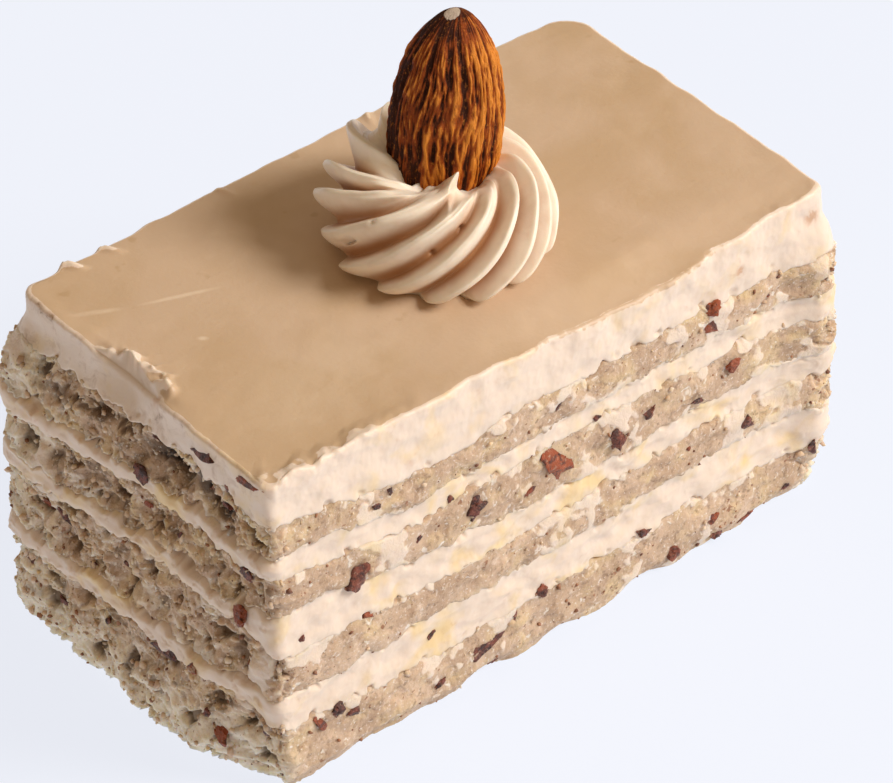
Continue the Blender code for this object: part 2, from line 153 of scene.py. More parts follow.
# Rosette, from the base up and into the hollow: radius, height, share of the ridge depth, turn of the ridges
ROSETTE_COLUMNS, ROSETTE_ROWS, ROSETTE_END_RINGS = 720, 118, 3
ROSETTE_CENTRE = (1.3, -1.2)
ROSETTE_LIFT = 0.3
ROSETTE_SINKS = 0.25
ROSETTE_PROFILE = (
    (10.6, 0.0, 0.30, 0),
    (11.7, 0.8, 0.75, 5),
    (11.8, 2.7, 1.00, 18),
    (11.4, 4.9, 1.00, 33),
    (10.4, 7.0, 0.95, 48),
    (9.0, 8.7, 0.85, 64),
    (7.2, 9.6, 0.60, 79),
    (5.5, 9.0, 0.30, 90),
    (4.0, 7.6, 0.05, 98),
)
# Where each ridge starts at the base, in degrees, and how far some of them flare out and up, most at what height
RIDGE_STARTS = (20, 53, 83, 103, 136, 167, 195, 222, 246, 271, 301, 337)
RIDGE_FLARES = {
    20: (0.5, 1.6, 8.4),
    53: (1.3, 2.4, 8.0),
    83: (1.5, 1.1, 6.8),
    103: (1.3, 0.6, 5.6),
    136: (0.2, 0.3, 4.2),
}
NO_FLARE = (0.0, 0.0, 6.0)
# The first ridge runs on to the next as a fold, with only a shallow valley between them
FIRST_VALLEY_FLOOR = 0.55
FLARE_TALL = 2.6
VALLEY_AT = 0.76
RIDGE_RISE = 0.55
RISE_STARTS_OVER = (4.0, 9.0)
PEAK_RADIUS = 4.0
PEAK_FOOT, PEAK_TIP = 2.6, 0.85
PEAK_TIP_SHARE = 0.58
PEAK_LEANS_BY = 0.9
PEAK_DIRECTION = -118.0
PEAK_LEANS = (0.77, -0.63)
ROSETTE_FLAT_SIDE = math.radians(-30.0)
ROSETTE_LEFT = math.radians(141.0)
# Small air holes in the swirl, from its centre: x, y, height, size, depth
AIR_HOLES = (
    (-3.9, -7.8, 7.6, 0.30, 0.6), (-11.0, -1.7, 8.4, 0.28, 0.5), (-7.3, -7.0, 5.5, 0.30, 0.5),
    (4.7, -7.3, 8.4, 0.25, 0.5), (-0.3, -7.6, 9.7, 0.45, 0.9), (-12.3, 0.6, 5.3, 0.45, 1.1),
    (-12.25, 1.2, 4.7, 0.45, 1.2), (-12.2, 1.9, 4.1, 0.45, 1.0),
)

# Almond
ALMOND_COLUMNS, ALMOND_ROWS, ALMOND_END_RINGS = 320, 220, 6
ALMOND_FOOT = 2.1
ALMOND_FACES = -129.3
ALMOND_LEANS_BACK = 8.0
ALMOND_LEANS_RIGHT = 6.2
ALMOND_SHIFT = (-0.62, 0.51)
ALMOND_CAP = 0.5
# The scar on the almond's blunt end and the dark dot beside it, across and through the almond
SCAR_PLACE, SCAR_SIZE = (-0.60, -0.45), (0.95, 0.75)
DOT_PLACE = (0.50, -0.45)
# The almond's width from its foot to its top: share of its length, share of its width
ALMOND_PROFILE = (
    (0.0, 0.08), (0.02, 0.27), (0.06, 0.50), (0.12, 0.70), (0.20, 0.84), (0.28, 0.93), (0.37, 0.98), (0.45, 1.0),
    (0.54, 0.985), (0.62, 0.945), (0.71, 0.88), (0.795, 0.78), (0.85, 0.69), (0.89, 0.60), (0.923, 0.51),
    (0.95, 0.42), (0.97, 0.34), (0.985, 0.27), (1.0, 0.18),
)

# Chopped nuts on the two shown sides: along the side, height, width, tall
FRONT_NUTS = (
    (-0.9, 25.6, 4.4, 8.6), (-11.9, 25.5, 3.4, 3.4), (-28.2, 25.0, 3.2, 4.6), (22.2, 34.4, 2.6, 2.6),
    (22.0, 32.2, 2.2, 2.6), (13.0, 24.8, 2.3, 2.6), (8.4, 24.4, 2.6, 3.7), (-10.8, 4.4, 6.4, 2.0),
    (-29.0, 6.4, 2.6, 2.0), (-31.2, 8.2, 2.2, 2.4), (-33.8, 7.6, 1.4, 3.1), (25.5, 25.2, 2.8, 2.3),
    (27.5, 15.5, 2.6, 2.6), (41.0, 18.2, 2.6, 1.7), (37.3, 7.0, 1.4, 2.8), (40.6, 1.8, 1.7, 2.6),
    (-2.1, 7.9, 2.3, 2.8), (-17.8, 10.6, 1.7, 1.7), (17.3, 2.4, 2.6, 2.6), (28.3, 0.8, 3.4, 1.6),
    (24.0, 1.0, 2.3, 2.0), (23.1, 3.8, 2.8, 2.0), (0.0, 33.3, 1.4, 2.3), (39.7, 35.5, 2.0, 1.7),
    (20.0, 23.0, 2.0, 1.1), (-6.2, 6.6, 1.4, 2.0), (33.9, 2.8, 1.7, 1.1), (-15.0, 28.6, 1.1, 1.4),
    (-26.6, 18.5, 2.0, 1.4), (-23.3, 34.5, 0.9, 1.4), (-25.2, 33.4, 1.7, 0.9), (12.5, 7.7, 3.4, 1.4),
    (19.2, 16.4, 1.1, 0.9), (30.4, 32.3, 0.7, 0.7), (-35.4, 20.6, 1.2, 0.9), (-17.0, 3.0, 1.8, 1.2),
    (-9.0, 1.4, 2.0, 0.8), (5.6, 28.4, 1.6, 0.9), (-19.6, 25.6, 1.2, 1.4), (-4.4, 23.6, 2.2, 0.9),
)
LEFT_NUTS = (
    (-16.7, 23.1, 2.8, 2.8), (-4.3, 10.6, 4.6, 1.7), (-10.2, 12.4, 2.1, 1.7), (-13.0, 3.8, 3.2, 2.6),
    (-10.5, 40.9, 4.4, 3.4), (-18.4, 42.2, 5.4, 1.5), (-0.1, 32.3, 2.8, 2.6), (9.5, 28.6, 4.2, 2.0),
    (12.9, 18.9, 4.4, 1.6), (16.0, 18.0, 2.6, 1.4), (-17.2, 29.3, 2.3, 2.4), (13.6, 5.2, 2.1, 1.1),
    (-0.4, 27.6, 2.1, 1.1), (2.7, 17.8, 1.4, 1.1), (-12.0, 7.0, 1.2, 1.2), (-14.5, 39.2, 1.2, 1.4),
    (-10.2, 36.8, 1.8, 2.6), (-19.4, 7.8, 1.2, 1.2), (5.0, 8.2, 1.2, 1.2), (-1.8, 37.4, 1.4, 1.2),
    (-6.4, 27.0, 1.8, 0.9), (-13.0, 35.0, 1.6, 1.6), (8.0, 14.6, 1.6, 1.0), (18.0, 8.6, 1.8, 1.2),
)
# Hollows in the shaded crumb of the short side: along, height, half width, half height, depth
LEFT_HOLLOWS = (
    (-3.5, 35.6, 4.6, 1.6, 1.7), (-12.0, 34.6, 2.8, 1.8, 1.5), (6.5, 36.2, 2.6, 1.1, 1.3),
    (-9.6, 36.6, 1.2, 1.6, 1.6), (12.6, 35.4, 2.4, 1.2, 1.1), (-15.6, 16.6, 1.6, 1.6, 1.1),
    (4.6, 25.4, 2.2, 1.1, 0.9), (-3.4, 16.2, 1.8, 1.1, 1.0), (-19.4, 31.6, 1.0, 3.0, 1.0),
    (13.4, 26.2, 2.0, 1.0, 0.9), (-6.0, 10.2, 2.4, 0.9, 1.1), (16.0, 32.4, 1.6, 1.0, 0.9),
)
# Light marks on the icing: place, turn in degrees, length, width, strength
TOP_MARKS = (
    ((-35.0, 13.1), -27.0, 8.0, 1.2, 0.45),
    ((-26.4, 9.4), -21.0, 11.5, 0.9, 0.55),
    ((-28.9, 2.2), -38.0, 1.6, 1.0, 0.6),
    ((-24.0, -11.0), 6.0, 38.0, 17.0, 0.22),
)
# Brown stains on the icing's cut side: place, turn, length, width, height, tall
SIDE_STAINS = (
    ((36.6, -21.6), 0.0, 2.8, 6.0, 40.0, 3.6),
    ((26.2, -21.6), 0.0, 1.8, 6.0, 37.8, 2.6),
)
# A chip of the long side that lies past this place is on the corner, and is looked for from the right
CORNER_FROM, CORNER_ALONG = 38.5, -17.0
HIDDEN_NUTS = 34
HIDDEN_NUT_WIDTHS, HIDDEN_NUT_TALLS = (0.9, 3.6), (0.9, 2.6)
# Chips: how deep and how far pressed in, as shares of their size and depth, their tilt, and their flat cuts
CHIP_DEPTH, CHIP_SINKS, CHIP_TILT = 0.6, (0.02, 0.16), 0.5
CHIP_CUTS, CHIP_CUT_DEPTHS = 9, (0.19, 0.40)
CHIP_SHARP_FROM = math.radians(40)
RED_CHIPS_FROM = 5.0
ICING_FROM = 38.5
NUT_SEED = 11
# Loose grains: the attribute that says where, how many to a square millimetre, seed, smallest and largest size
LOOSE_CRUMBS = ("bare", 1.1, 5, 0.16, 1.1)
NUT_SPECKS = ("speckled", 0.16, 17, 0.22, 0.9)
GRAIN_BUMPS = (0.55, 1.3)
LOWEST_GRAIN = 0.02
WALL_DEPTH = 2.2
# noise_vector draws its offsets from this seed, and from the clock without it
CRUMB_SEED = 3

# Camera: the photo's width and focal length in pixels, its place from the block's middle, and how it is turned
PICTURE_WIDTH = 893.0
FOCAL_PIXELS = 5000.0
SENSOR_WIDTH = 36.0
CAMERA_PLACE = (-267.03, -329.59, 377.54)
AZIMUTH, ELEVATION, ROLL = math.radians(-39.26), math.radians(40.02), math.radians(-1.02)
# Key light and floor, in metres
KEY_PLACE, KEY_TARGET = (0.672, -0.736, 0.814), (0.0, 0.0, 0.03)
KEY_SIZE = 0.54
KEY_TINT = (1.0, 0.975, 0.945)
FLOOR_SIZE = 6.0


def from_hex(code):
    """The linear colour of a six-digit screen colour."""
    shares = [int(code[index : index + 2], 16) / 255 for index in (0, 2, 4)]
    return tuple(s / 12.92 if s <= 0.04045 else ((s + 0.055) / 1.055) ** 2.4 for s in shares)


def colour(name, code, words):
    return FloatVectorProperty(name=name, description=words, subtype="COLOR", size=3, min=0.0, max=1.0,
                               default=from_hex(code))


def distance(name, millimetres, words):
    return FloatProperty(name=name, description=words, subtype="DISTANCE", unit="LENGTH", precision=5,
                         min=0.0, default=millimetres * MM)


class PastryBlockSettings(bpy.types.PropertyGroup):
    """The sizes of the block and of its crumb."""

    length: distance("Length", 78.0, "Length of the icing along the long cut side")
    width: distance("Width", 43.2, "Width of the icing along the short cut side")
    icing_top: distance("Icing top", 43.2, "Height of the icing's upper face")
    sponge_relief: distance("Sponge relief", 1.5, "How far the coarse lumps of the crumb stand out")
    crumb_relief: distance("Crumb relief", 0.85, "How far single crumbs stand out")
    pore_depth: distance("Pore depth", 2.0, "Depth of the open pores in the crumb")
    filling_relief: distance("Filling relief", 0.45, "Unevenness of the cut fillings")
    filling_rib: distance("Filling rib", 0.9, "How far the fillings stand out of the rough short side")


class PastryCreamColours(bpy.types.PropertyGroup):
    """The colours of the sponges, the fillings and the icing."""

    crumb: colour("Crumb", "D2B498", "Crumb of the sponge")
    crumb_shade: colour("Crumb shade", "BC9E83", "Moist, greyer crumb")
    crumb_yellow: colour("Yellow crumb", "DCC094", "Translucent, yellower crumb")
    crumb_pale: colour("Pale crumb", "E6D0BA", "Dry, paler crumb")
    # Painted shade: the dark colour painted into the pits, pockets, cracks and tiny pores of the crumb
    hollow_shade: colour("Pore", "5E3F20", "Bottom of the pores")
    filling: colour("Filling", "E5D1BE", "Cut coffee cream")
    filling_warm: colour("Warm filling", "E6C890", "Yellower patches of the cream")
    stain: colour("Stain", "BE8A68", "Stains that nut skins leave in the cream")
    icing: colour("Icing top", "CEB295", "Upper face of the icing")
    icing_patch: colour("Icing patch", "C4A683", "Darker patches of the icing's upper face")


class PastryRosetteSettings(bpy.types.PropertyGroup):
    """The piped swirl."""

    ridge_depth: distance("Ridge depth", 2.8, "Depth of the valleys between the ridges")
    petal_share: FloatProperty(name="Petal flare", description="How far the loose ridges flare out", default=1.0,
                               min=0.0, max=1.5)
    peak_height: distance("Peak height", 4.0, "Height of the torn tip in front of the almond")
    cream: colour("Piped cream", "F1E2CE", "Colour of the piped cream")
    # Painted shade: the golden brown painted deep in the valleys between the ridges, where they lie in shade
    valley_shade: colour("Valley", "AE6E2E", "Colour deep between the ridges")


class PastryAlmondSettings(bpy.types.PropertyGroup):
    """The whole almond."""

    length: distance("Length", 26.0, "Length of the almond")
    width: distance("Width", 12.3, "Width of the almond's broad side")
    thickness: distance("Thickness", 8.0, "Thickness of the almond")
    wrinkle_depth: distance("Wrinkle depth", 0.42, "Depth of the wrinkles in the skin")
    skin: colour("Skin", "93410A", "Almond skin")
    # The light streak colour also gives the painted highlight on the almond's right side, and the groove colour the
    # painted shade on its left side
    skin_light: colour("Light streaks", "E28B32", "Worn ridges of the skin")
    skin_dark: colour("Grooves", "3A1503", "Grooves of the skin")
    scar: colour("Scar", "CDB9A6", "Pale scar at the blunt end")


class PastryNutSettings(bpy.types.PropertyGroup):
    """The chopped nuts in the sponge."""

    skin: colour("Nut skin", "7C402E", "Brown skin of the chopped nuts")
    skin_dark: colour("Dark nut skin", "38190F", "Darkest nut skin")
    skin_red: colour("Red nut skin", "A34A14", "Redder skin of some pieces")
    flesh: colour("Nut flesh", "B8977A", "Cut flesh of the chopped nuts")


class PastryStageSettings(bpy.types.PropertyGroup):
    """The floor and the light."""

    floor: colour("Floor", "5C5D60", "Colour of the floor")
    floor_glow: colour("Floor glow", "EAEEF8", "Colour of the light that comes through the floor")
    floor_glow_strength: FloatProperty(name="Floor glow strength", default=0.92, min=0.0,
                                       description="Strength of the light that comes through the floor")
    sky: colour("Surround", "FFE4C2", "Colour of the light from all round")
    sky_strength: FloatProperty(name="Surround strength", description="Strength of the light from all round",
                                default=0.370, min=0.0)
    key_power: FloatProperty(name="Key power", description="Power of the key light", subtype="POWER",
                             unit="POWER", default=17.3, min=0.0)


def smooth_step(low, high, value):
    """0 below low, 1 above high, and an even curve between."""
    share = min(max((value - low) / (high - low), 0.0), 1.0)
    return share * share * (3.0 - 2.0 * share)


def blend(first, second, share):
    return first + (second - first) * share


def bump_at(value, centre, width):
    return math.exp(-(((value - centre) / width) ** 2))


def grain(x, y, z, size, seed=0.0):
    """Smooth noise, about -0.6 to 0.6, with lumps of this size."""
    return noise.noise(Vector((x / size, y / size, z / size + seed)))


def torn(x, y, z, size, octaves=4):
    """Layered noise, about -0.8 to 0.8: lumps of this size with finer ones on them."""
    return noise.fractal(Vector((x / size, y / size, z / size)), 0.9, 2.1, octaves)


def crumb(x, y, z, size, seed):
    return noise.noise(Vector((x, y, z * 1.3 + seed)) / size)


class Block:
    """The plan and the layer heights of the block, in millimetres."""

    def __init__(self, settings):
        self.length = settings.length / MM
        self.width = settings.width / MM
        self.top = settings.icing_top / MM
        self.columns = self.plan_columns()

    def outline(self):
        """The corners' arcs, joined by the sides, anticlockwise from the left end of the front corner."""
        path = []
        for corner, start in (("front_left", 180), ("front_right", 270), ("back_right", 0), ("back_left", 90)):
            radius = CORNER_RADII[corner]
            centre_x = (self.length / 2 - radius) * (1 if "right" in corner else -1)
            centre_y = (self.width / 2 - radius) * (1 if "back" in corner else -1)
            for step in range(ARC_STEPS + 1):
                angle = math.radians(start + 90 * step / ARC_STEPS)
                path.append((centre_x + radius * math.cos(angle), centre_y + radius * math.sin(angle)))
        path.append(path[0])
        return np.array(path)

    def plan_columns(self):
        """(x, y, outward x, outward y) of every column."""
        path = self.outline()
        walked = np.concatenate(([0.0], np.cumsum(np.hypot(*np.diff(path, axis=0).T))))
        round_it = walked[-1]
        counts = [
            round(COARSE_FROM / FINE_SPACING),
            round((COARSE_TO - COARSE_FROM) / COARSE_SPACING),
            round((round_it - COARSE_TO) / FINE_SPACING),
        ]
        counts[1] += -sum(counts) % 4
        marks = np.concatenate(([0], np.cumsum(counts)))
        reach = np.interp(np.arange(marks[-1]), marks, (0.0, COARSE_FROM, COARSE_TO, round_it))
        x, y = np.interp(reach, walked, path[:, 0]), np.interp(reach, walked, path[:, 1])
        ahead, behind = (reach + NORMAL_REACH) % round_it, (reach - NORMAL_REACH) % round_it
        along_x = np.interp(ahead, walked, path[:, 0]) - np.interp(behind, walked, path[:, 0])
        along_y = np.interp(ahead, walked, path[:, 1]) - np.interp(behind, walked, path[:, 1])
        size = np.hypot(along_x, along_y)
        return np.stack((x, y, along_y / size, -along_x / size), axis=1).tolist()

    def near_left(self, x, band):
        """1 on the left short side, 0 from this band inwards. The next three are the same for the other sides."""
        return smooth_step(-self.length / 2 + band, -self.length / 2, x)

    def near_right(self, x, band):
        return smooth_step(self.length / 2 - band, self.length / 2, x)

    def near_front(self, y, band):
        return smooth_step(-self.width / 2 + band, -self.width / 2, y)

    def near_back(self, y, band):
        return smooth_step(self.width / 2 - band, self.width / 2, y)

    def inset_place(self, x, y, inset):
        """The same place of the plan, moved in from the rim."""
        return x * (1.0 - 2 * inset / self.length), y * (1.0 - 2 * inset / self.width)

    def inset_share(self, x, y):
        depth = min(self.length / 2 - abs(x), self.width / 2 - abs(y))
        return smooth_step(0.0, INNER_INSET, depth)

    def edge_height(self, number, x, y):
        """The height at which layer number ends, at this place of the rim."""
        core, left, front = BOUNDARIES[number]
        at_front = front[-1]
        for before, after, low, high in zip(STATIONS, STATIONS[1:], front, front[1:]):
            if x <= after:
                at_front = blend(low, high, smooth_step(before, after, x))
                break
        height = blend(left, core, smooth_step(0.0, SMEAR_DEPTH, x + self.length / 2))
        height = blend(at_front, height, smooth_step(0.0, SMEAR_DEPTH, y + self.width / 2))
        height += BOUNDARY_WOBBLE * noise.noise(Vector((x, y, 31.7 * number)) / WOBBLE_SIZE)
        return blend(height, core, self.inset_share(x, y))

    def torn_edge(self, number, x, y):
        """The same height, with the fine tears that the knife leaves."""
        tear = grain(x, y, 7.0 * number, 1.7) + 0.55 * grain(x, y, 9.0 * number, 0.75, 5.0)
        wide = 1.0 + 0.5 * self.near_left(x, 1.5)
        return self.edge_height(number, x, y) + EDGE_TEAR * wide * tear

    def scoop(self, x, y):
        at_left = smooth_step(0.1, 0.8, self.near_left(x, SCOOP_BAND))
        return SCOOP_DEPTH * bump_at(y, SCOOP_CENTRE, SCOOP_LENGTH) * at_left

    def icing_height(self, x, y):
        at_front = self.near_front(y, self.width / 2)
        dip = FRONT_DIP * bump_at(x, FRONT_DIP_CENTRE, FRONT_DIP_LENGTH) * at_front
        wave = ICING_WAVE * noise.noise(Vector((x, y, 90.0)) / ICING_WAVE_SIZE)
        return self.top - (dip + self.scoop(x, y) + wave) * (1.0 - self.inset_share(x, y))

    def swell(self, x, y, height):
        """How far a cut side leans out of the block's plan at this place."""
        at_left = self.near_left(x, SIDE_BAND)
        at_right = self.near_right(x, RIGHT_SIDE_BAND)
        at_back = self.near_back(y, SIDE_BAND) * (1.0 - at_left)
        bottom_lean = LEAN_BOTTOM * smooth_step(*LEAN_BOTTOM_ALONG, y)
        upper_lean = LEAN_UPPER * smooth_step(*LEAN_UPPER_ALONG, y)
        lean = blend(bottom_lean, upper_lean, min(height / LEAN_UPPER_HEIGHT, 1.0))
        under_icing = 1.0 - smooth_step(*LEAN_ENDS_UNDER_ICING, height)
        off_the_base = smooth_step(*SWELL_RISES_OVER, height)
        at_right *= blend(0.75, 1.0, smooth_step(0.0, 5.0, y + self.width / 2))
        hidden = (RIGHT_SWELL * at_right + BACK_SWELL * at_back) * off_the_base
        return (at_left * lean + hidden) * under_icing

    def leaning_place(self, x, y, out_x, out_y, height):
        """Where this place of the plan ends up as its side leans out, so that no crumb is drawn out at a corner."""
        lean = self.swell(x, y, height)
        along = min(max(x / 10.0, -1.0), 1.0)
        return x + (out_x - along) * lean, y + out_y * lean

    def roughness(self, x, out_x, out_y):
        """How coarsely the crumb is torn: most on the short side, least on the knife's clean long side."""
        short = 0.8 if out_x < 0 else 0.75
        if out_y > 0:
            long = 0.45
        else:
            long = 0.15 + 0.45 * bump_at(x, -39.5, 2.6) + 0.6 * bump_at(x, 40.0, 3.6)
        return short * out_x * out_x + long * out_y * out_y


def add_node(tree, kind, inputs=(), output=0, **settings):
    """Adds a node to a tree, sets or links its inputs, and gives one of its outputs."""
    made = tree.nodes.new(kind)
    for name, value in settings.items():
        setattr(made, name, value)
    for socket, value in dict(inputs).items():
        if isinstance(value, bpy.types.NodeSocket):
            tree.links.new(value, made.inputs[socket])
        else:
            made.inputs[socket].default_value = value
    return made.outputs[output]


def deselect_all():
    if bpy.context.mode != "OBJECT":
        bpy.ops.object.mode_set(mode="OBJECT")
    bpy.ops.object.select_all(action="DESELECT")


def make_only(piece):
    deselect_all()
    piece.select_set(True)
    bpy.context.view_layer.objects.active = piece


def turned_blank(name, columns, rows, low_rings, high_rings):
    """A closed cylinder of radius 1 and height 1 with even columns and rows, and rings inset in its ends."""
    deselect_all()
    bpy.ops.mesh.primitive_cylinder_add(vertices=columns, radius=1.0, depth=1.0, end_fill_type="NGON",
                                        location=(0.0, 0.0, 0.5))
    bpy.ops.object.transform_apply(location=True, rotation=False, scale=False)
    piece = bpy.context.active_object
    piece.name = piece.data.name = name
    bpy.ops.object.mode_set(mode="EDIT")
    bpy.ops.mesh.select_mode(type="EDGE")
    bpy.ops.mesh.select_all(action="DESELECT")
    data = bmesh.from_edit_mesh(piece.data)
    for edge in data.edges:
        low, high = edge.verts
        edge.select_set(abs(low.co.z - high.co.z) > 0.5)
    bmesh.update_edit_mesh(piece.data)
    bpy.ops.mesh.subdivide(number_cuts=rows - 1)
    bpy.ops.mesh.select_mode(type="FACE")
    for end, rings in ((0.0, low_rings), (1.0, high_rings)):
        bpy.ops.mesh.select_all(action="DESELECT")
        data = bmesh.from_edit_mesh(piece.data)
        for face in data.faces:
            if len(face.verts) == columns and abs(face.calc_center_median().z - end) < 0.01:
                face.select_set(True)
        bmesh.update_edit_mesh(piece.data)
        for _ in range(rings):
            bpy.ops.mesh.inset(thickness=BLANK_INSET / rings)
    bpy.ops.object.mode_set(mode="OBJECT")
    return piece


def read_blank(piece, columns, low_rings, high_rings):
    """(column, height share, ring) of every vertex. Ring is 0 on the wall and counts inwards on an end."""
    flat = np.empty(3 * len(piece.data.vertices))
    piece.data.vertices.foreach_get("co", flat)
    x, y, z = flat.reshape(-1, 3).T
    column = np.rint(np.arctan2(y, x) / math.tau * columns).astype(int) % columns
    inward = 1.0 - np.hypot(x, y)
    ring = np.rint(inward * np.where(z < 0.5, low_rings, high_rings) / BLANK_INSET)
    return column.tolist(), z.tolist(), ring.astype(int).tolist()


def store(mesh, name, values):
    """Keeps one number for each point of the mesh, for a material or for scattering."""
    layer = mesh.attributes.new(name, "FLOAT", "POINT")
    layer.data.foreach_set("value", np.array(values, dtype=np.float32))


def join_as(name, pieces):
    """Joins the pieces into one object of this name."""
    deselect_all()
    for piece in pieces:
        piece.select_set(True)
    bpy.context.view_layer.objects.active = pieces[0]
    bpy.ops.object.join()
    joined = bpy.context.active_object
    joined.name = joined.data.name = name
    return joined


def finish_piece(piece, places, node, attributes):
    """Gives a piece its places in metres, its normals, its attributes and its share of the frame."""
    mesh = piece.data
    points = (np.array(places) + (*BLOCK_PLACE, 0.0)) * MM
    mesh.vertices.foreach_set("co", points.ravel())
    for name, values in attributes.items():
        store(mesh, name, values)
    mesh.update()
    make_only(piece)
    bpy.ops.object.mode_set(mode="EDIT")
    bpy.ops.mesh.select_all(action="SELECT")
    bpy.ops.mesh.normals_make_consistent(inside=False)
    bpy.ops.object.mode_set(mode="OBJECT")
    bpy.ops.object.shade_smooth()
    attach(piece, "root")
    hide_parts(node)
    deselect_all()
    return piece


def smallest_gap(x, y, z, size):
    """Distances from a point to the middles of the nearest two crumbs, in crumb sizes."""
    found = noise.voronoi(Vector((x, y, z)) / size)[0]
    return found[0], found[1]


def hollow_depth(y, height):
    depth = 0.0
    for along, middle, half_width, half_height, most in LEFT_HOLLOWS:
        depth += most * bump_at(y, along, half_width) * bump_at(height, middle, half_height)
    return depth


def coarse_reach(block, number, x, y, height, share, relief, stand_out):
    """The outline that the layer's solid has: its lean, its lumps and its rims."""
    middle = math.sin(math.pi * min(max(share, 0.0), 1.0)) ** 0.6
    push = stand_out + relief * crumb(x, y, height, CRUMB_SIZE, 40.0 * number)
    push += 0.4 * relief * crumb(x, y, height, 0.5 * CRUMB_SIZE, 40.0 * number + 9.0)
    rim = EDGE_RELIEF * crumb(x, y, height, CRUMB_SIZE, 50.0)
    return block.swell(x, y, height) + push * middle + rim * (1.0 - middle)


def sponge_relief(settings, x, y, height, rough):
    """(relief, hollow_shade): soft torn lumps with single crumbs on them, the cracks between them, and open pores,
    and the painted shade that goes into the pits, pockets and cracks.
    """
    bend = noise.noise_vector(Vector((x, y, height)) / 1.6) * 0.8
    bx, by, bz = x + bend.x, y + bend.y, height + bend.z
    middle, second = smallest_gap(bx, by, bz, 1.3)
    crack = smooth_step(0.16, 0.0, second - middle) * smooth_step(-0.1, 0.3, grain(x, y, height, 2.6, 33.0))
    coarse = 0.05 + rough**1.5
    relief = settings.crumb_relief / MM * coarse * (0.75 * torn(bx, by, bz, 3.0, 3) + 0.8 * (0.3 - middle * middle))
    relief += (0.04 + 0.11 * rough) * torn(bx, by, bz, 0.55, 2)
    pit = smooth_step(0.26, 0.62, 0.9 * torn(bx + 40.0, by, bz, 1.9, 4) + 0.2 * grain(x, y, height, 0.5, 8.0))
    hollow = grain(bx, by, bz, 2.8, 13.0) + 0.22 * torn(x, y + 40.0, height, 1.0, 3)
    pocket = smooth_step(0.20, 0.44, hollow) * rough**1.5
    depth = pit * (0.05 + 0.34 * rough**1.5) + 0.9 * pocket
    relief -= settings.pore_depth / MM * depth + 0.3 * coarse * crack
    # The second value is how much painted shade the pits, pockets and cracks get
    return relief, pit * (0.2 + 0.3 * rough) + 0.95 * pocket + 0.4 * crack * (0.1 + rough)


def smear_share(x, y, height, edge, rough):
    """Where the knife has dragged cream over the crumb: 1 on cream, 0 on bare crumb."""
    drag = grain(x, y, 0.45 * height, 3.4, 11.0) + 0.35 * grain(x, y, height, 1.1, 14.0)
    near_cream = 1.0 - smooth_step(0.0, 2.0, edge)
    return smooth_step(0.30, 0.48, drag + 0.20 * near_cream - 0.32 * rough)


def cut_layer(block, settings, number):
    """Models a sponge or a filling: its cut sides are lifted out of the layer's own solid, crumb by crumb."""
    name = LAYERS[number]
    is_sponge = name.startswith("sponge")
    columns = len(block.columns)
    lows = [block.torn_edge(number - 1, x, y) if number else 0.0 for x, y, _, _ in block.columns]
    highs = [block.torn_edge(number, x, y) for x, y, _, _ in block.columns]
    under = OVERLAP if number else 0.0
    tallest = max(high - low for low, high in zip(lows, highs)) + under + OVERLAP
    rows = max(round(0.85 * tallest / ROW_HEIGHT), 4)
    piece = turned_blank(name + "_cut", columns, rows, END_RINGS, END_RINGS)
    places, looks = [], []
    core_low = BOUNDARIES[number - 1][0] if number else 0.0
    core_high = BOUNDARIES[number][0]
    for column, share, ring in zip(*read_blank(piece, columns, END_RINGS, END_RINGS)):
        x, y, out_x, out_y = block.columns[column]
        low, high = lows[column], highs[column]
        if ring:
            rim, core = (high, core_high) if share > 0.5 else (low, core_low)
            places.append((*block.inset_place(x, y, END_INSETS[ring]), blend(rim, core, END_SHARES[ring])))
            looks.append((0.0, 0.0, 0.0))
            continue
        height = blend(low - under, high + OVERLAP, share)
        edge = min(height - low if number else 9.0, high - height)
        rough = block.roughness(x, out_x, out_y)
        at_left = max(-out_x, 0.0)
        own_share = (height - low) / (high - low)
        cut = sponge_surface if is_sponge else filling_surface
        fine_place = block.leaning_place(x, y, out_x, out_y, height)
        reach, hollow_shade, smear = cut(block, settings, number, x, y, fine_place, height, own_share, edge, rough, at_left)
        if number == 0:
            worn = WORN_BOTTOM_EDGE * (0.6 + crumb(x, y, 0.0, 1.6 * CRUMB_SIZE, 3.0))
            reach -= worn * (1.0 - smooth_step(0.0, WORN_UP_TO, height))
        places.append((x + out_x * reach, y + out_y * reach, height))
        looks.append((hollow_shade, smear, rough))
    return finish_piece(piece, places, name,
                        dict(zip(("hollow_shade", "smear", "torn"), zip(*looks))))


def sponge_surface(block, settings, number, x, y, fine_place, height, own_share, edge, rough, at_left):
    """(reach, hollow_shade, smear) of one place on a sponge's cut side; hollow_shade is the painted shade in its pits
    and hollows.
    """
    lumps = settings.sponge_relief / MM * (0.16 + 0.74 * rough)
    reach = coarse_reach(block, number, x, y, height, own_share, lumps, 0.24 - 0.55 * at_left)
    relief, hollow_shade = sponge_relief(settings, *fine_place, height, rough)
    smear = smear_share(x, y, height, edge, rough)
    reach += relief * (1.0 - 0.8 * smear) + 0.10 * smear
    reach -= at_left * hollow_depth(y, height)
    # Painted shade in the hollows of the short side
    hollow_shade += 0.6 * at_left * min(hollow_depth(y, height), 1.4)
    reach -= TUCK * (1.0 - smooth_step(-OVERLAP, 0.05, edge)) ** 1.5
    return reach, hollow_shade * (1.0 - smear), smear


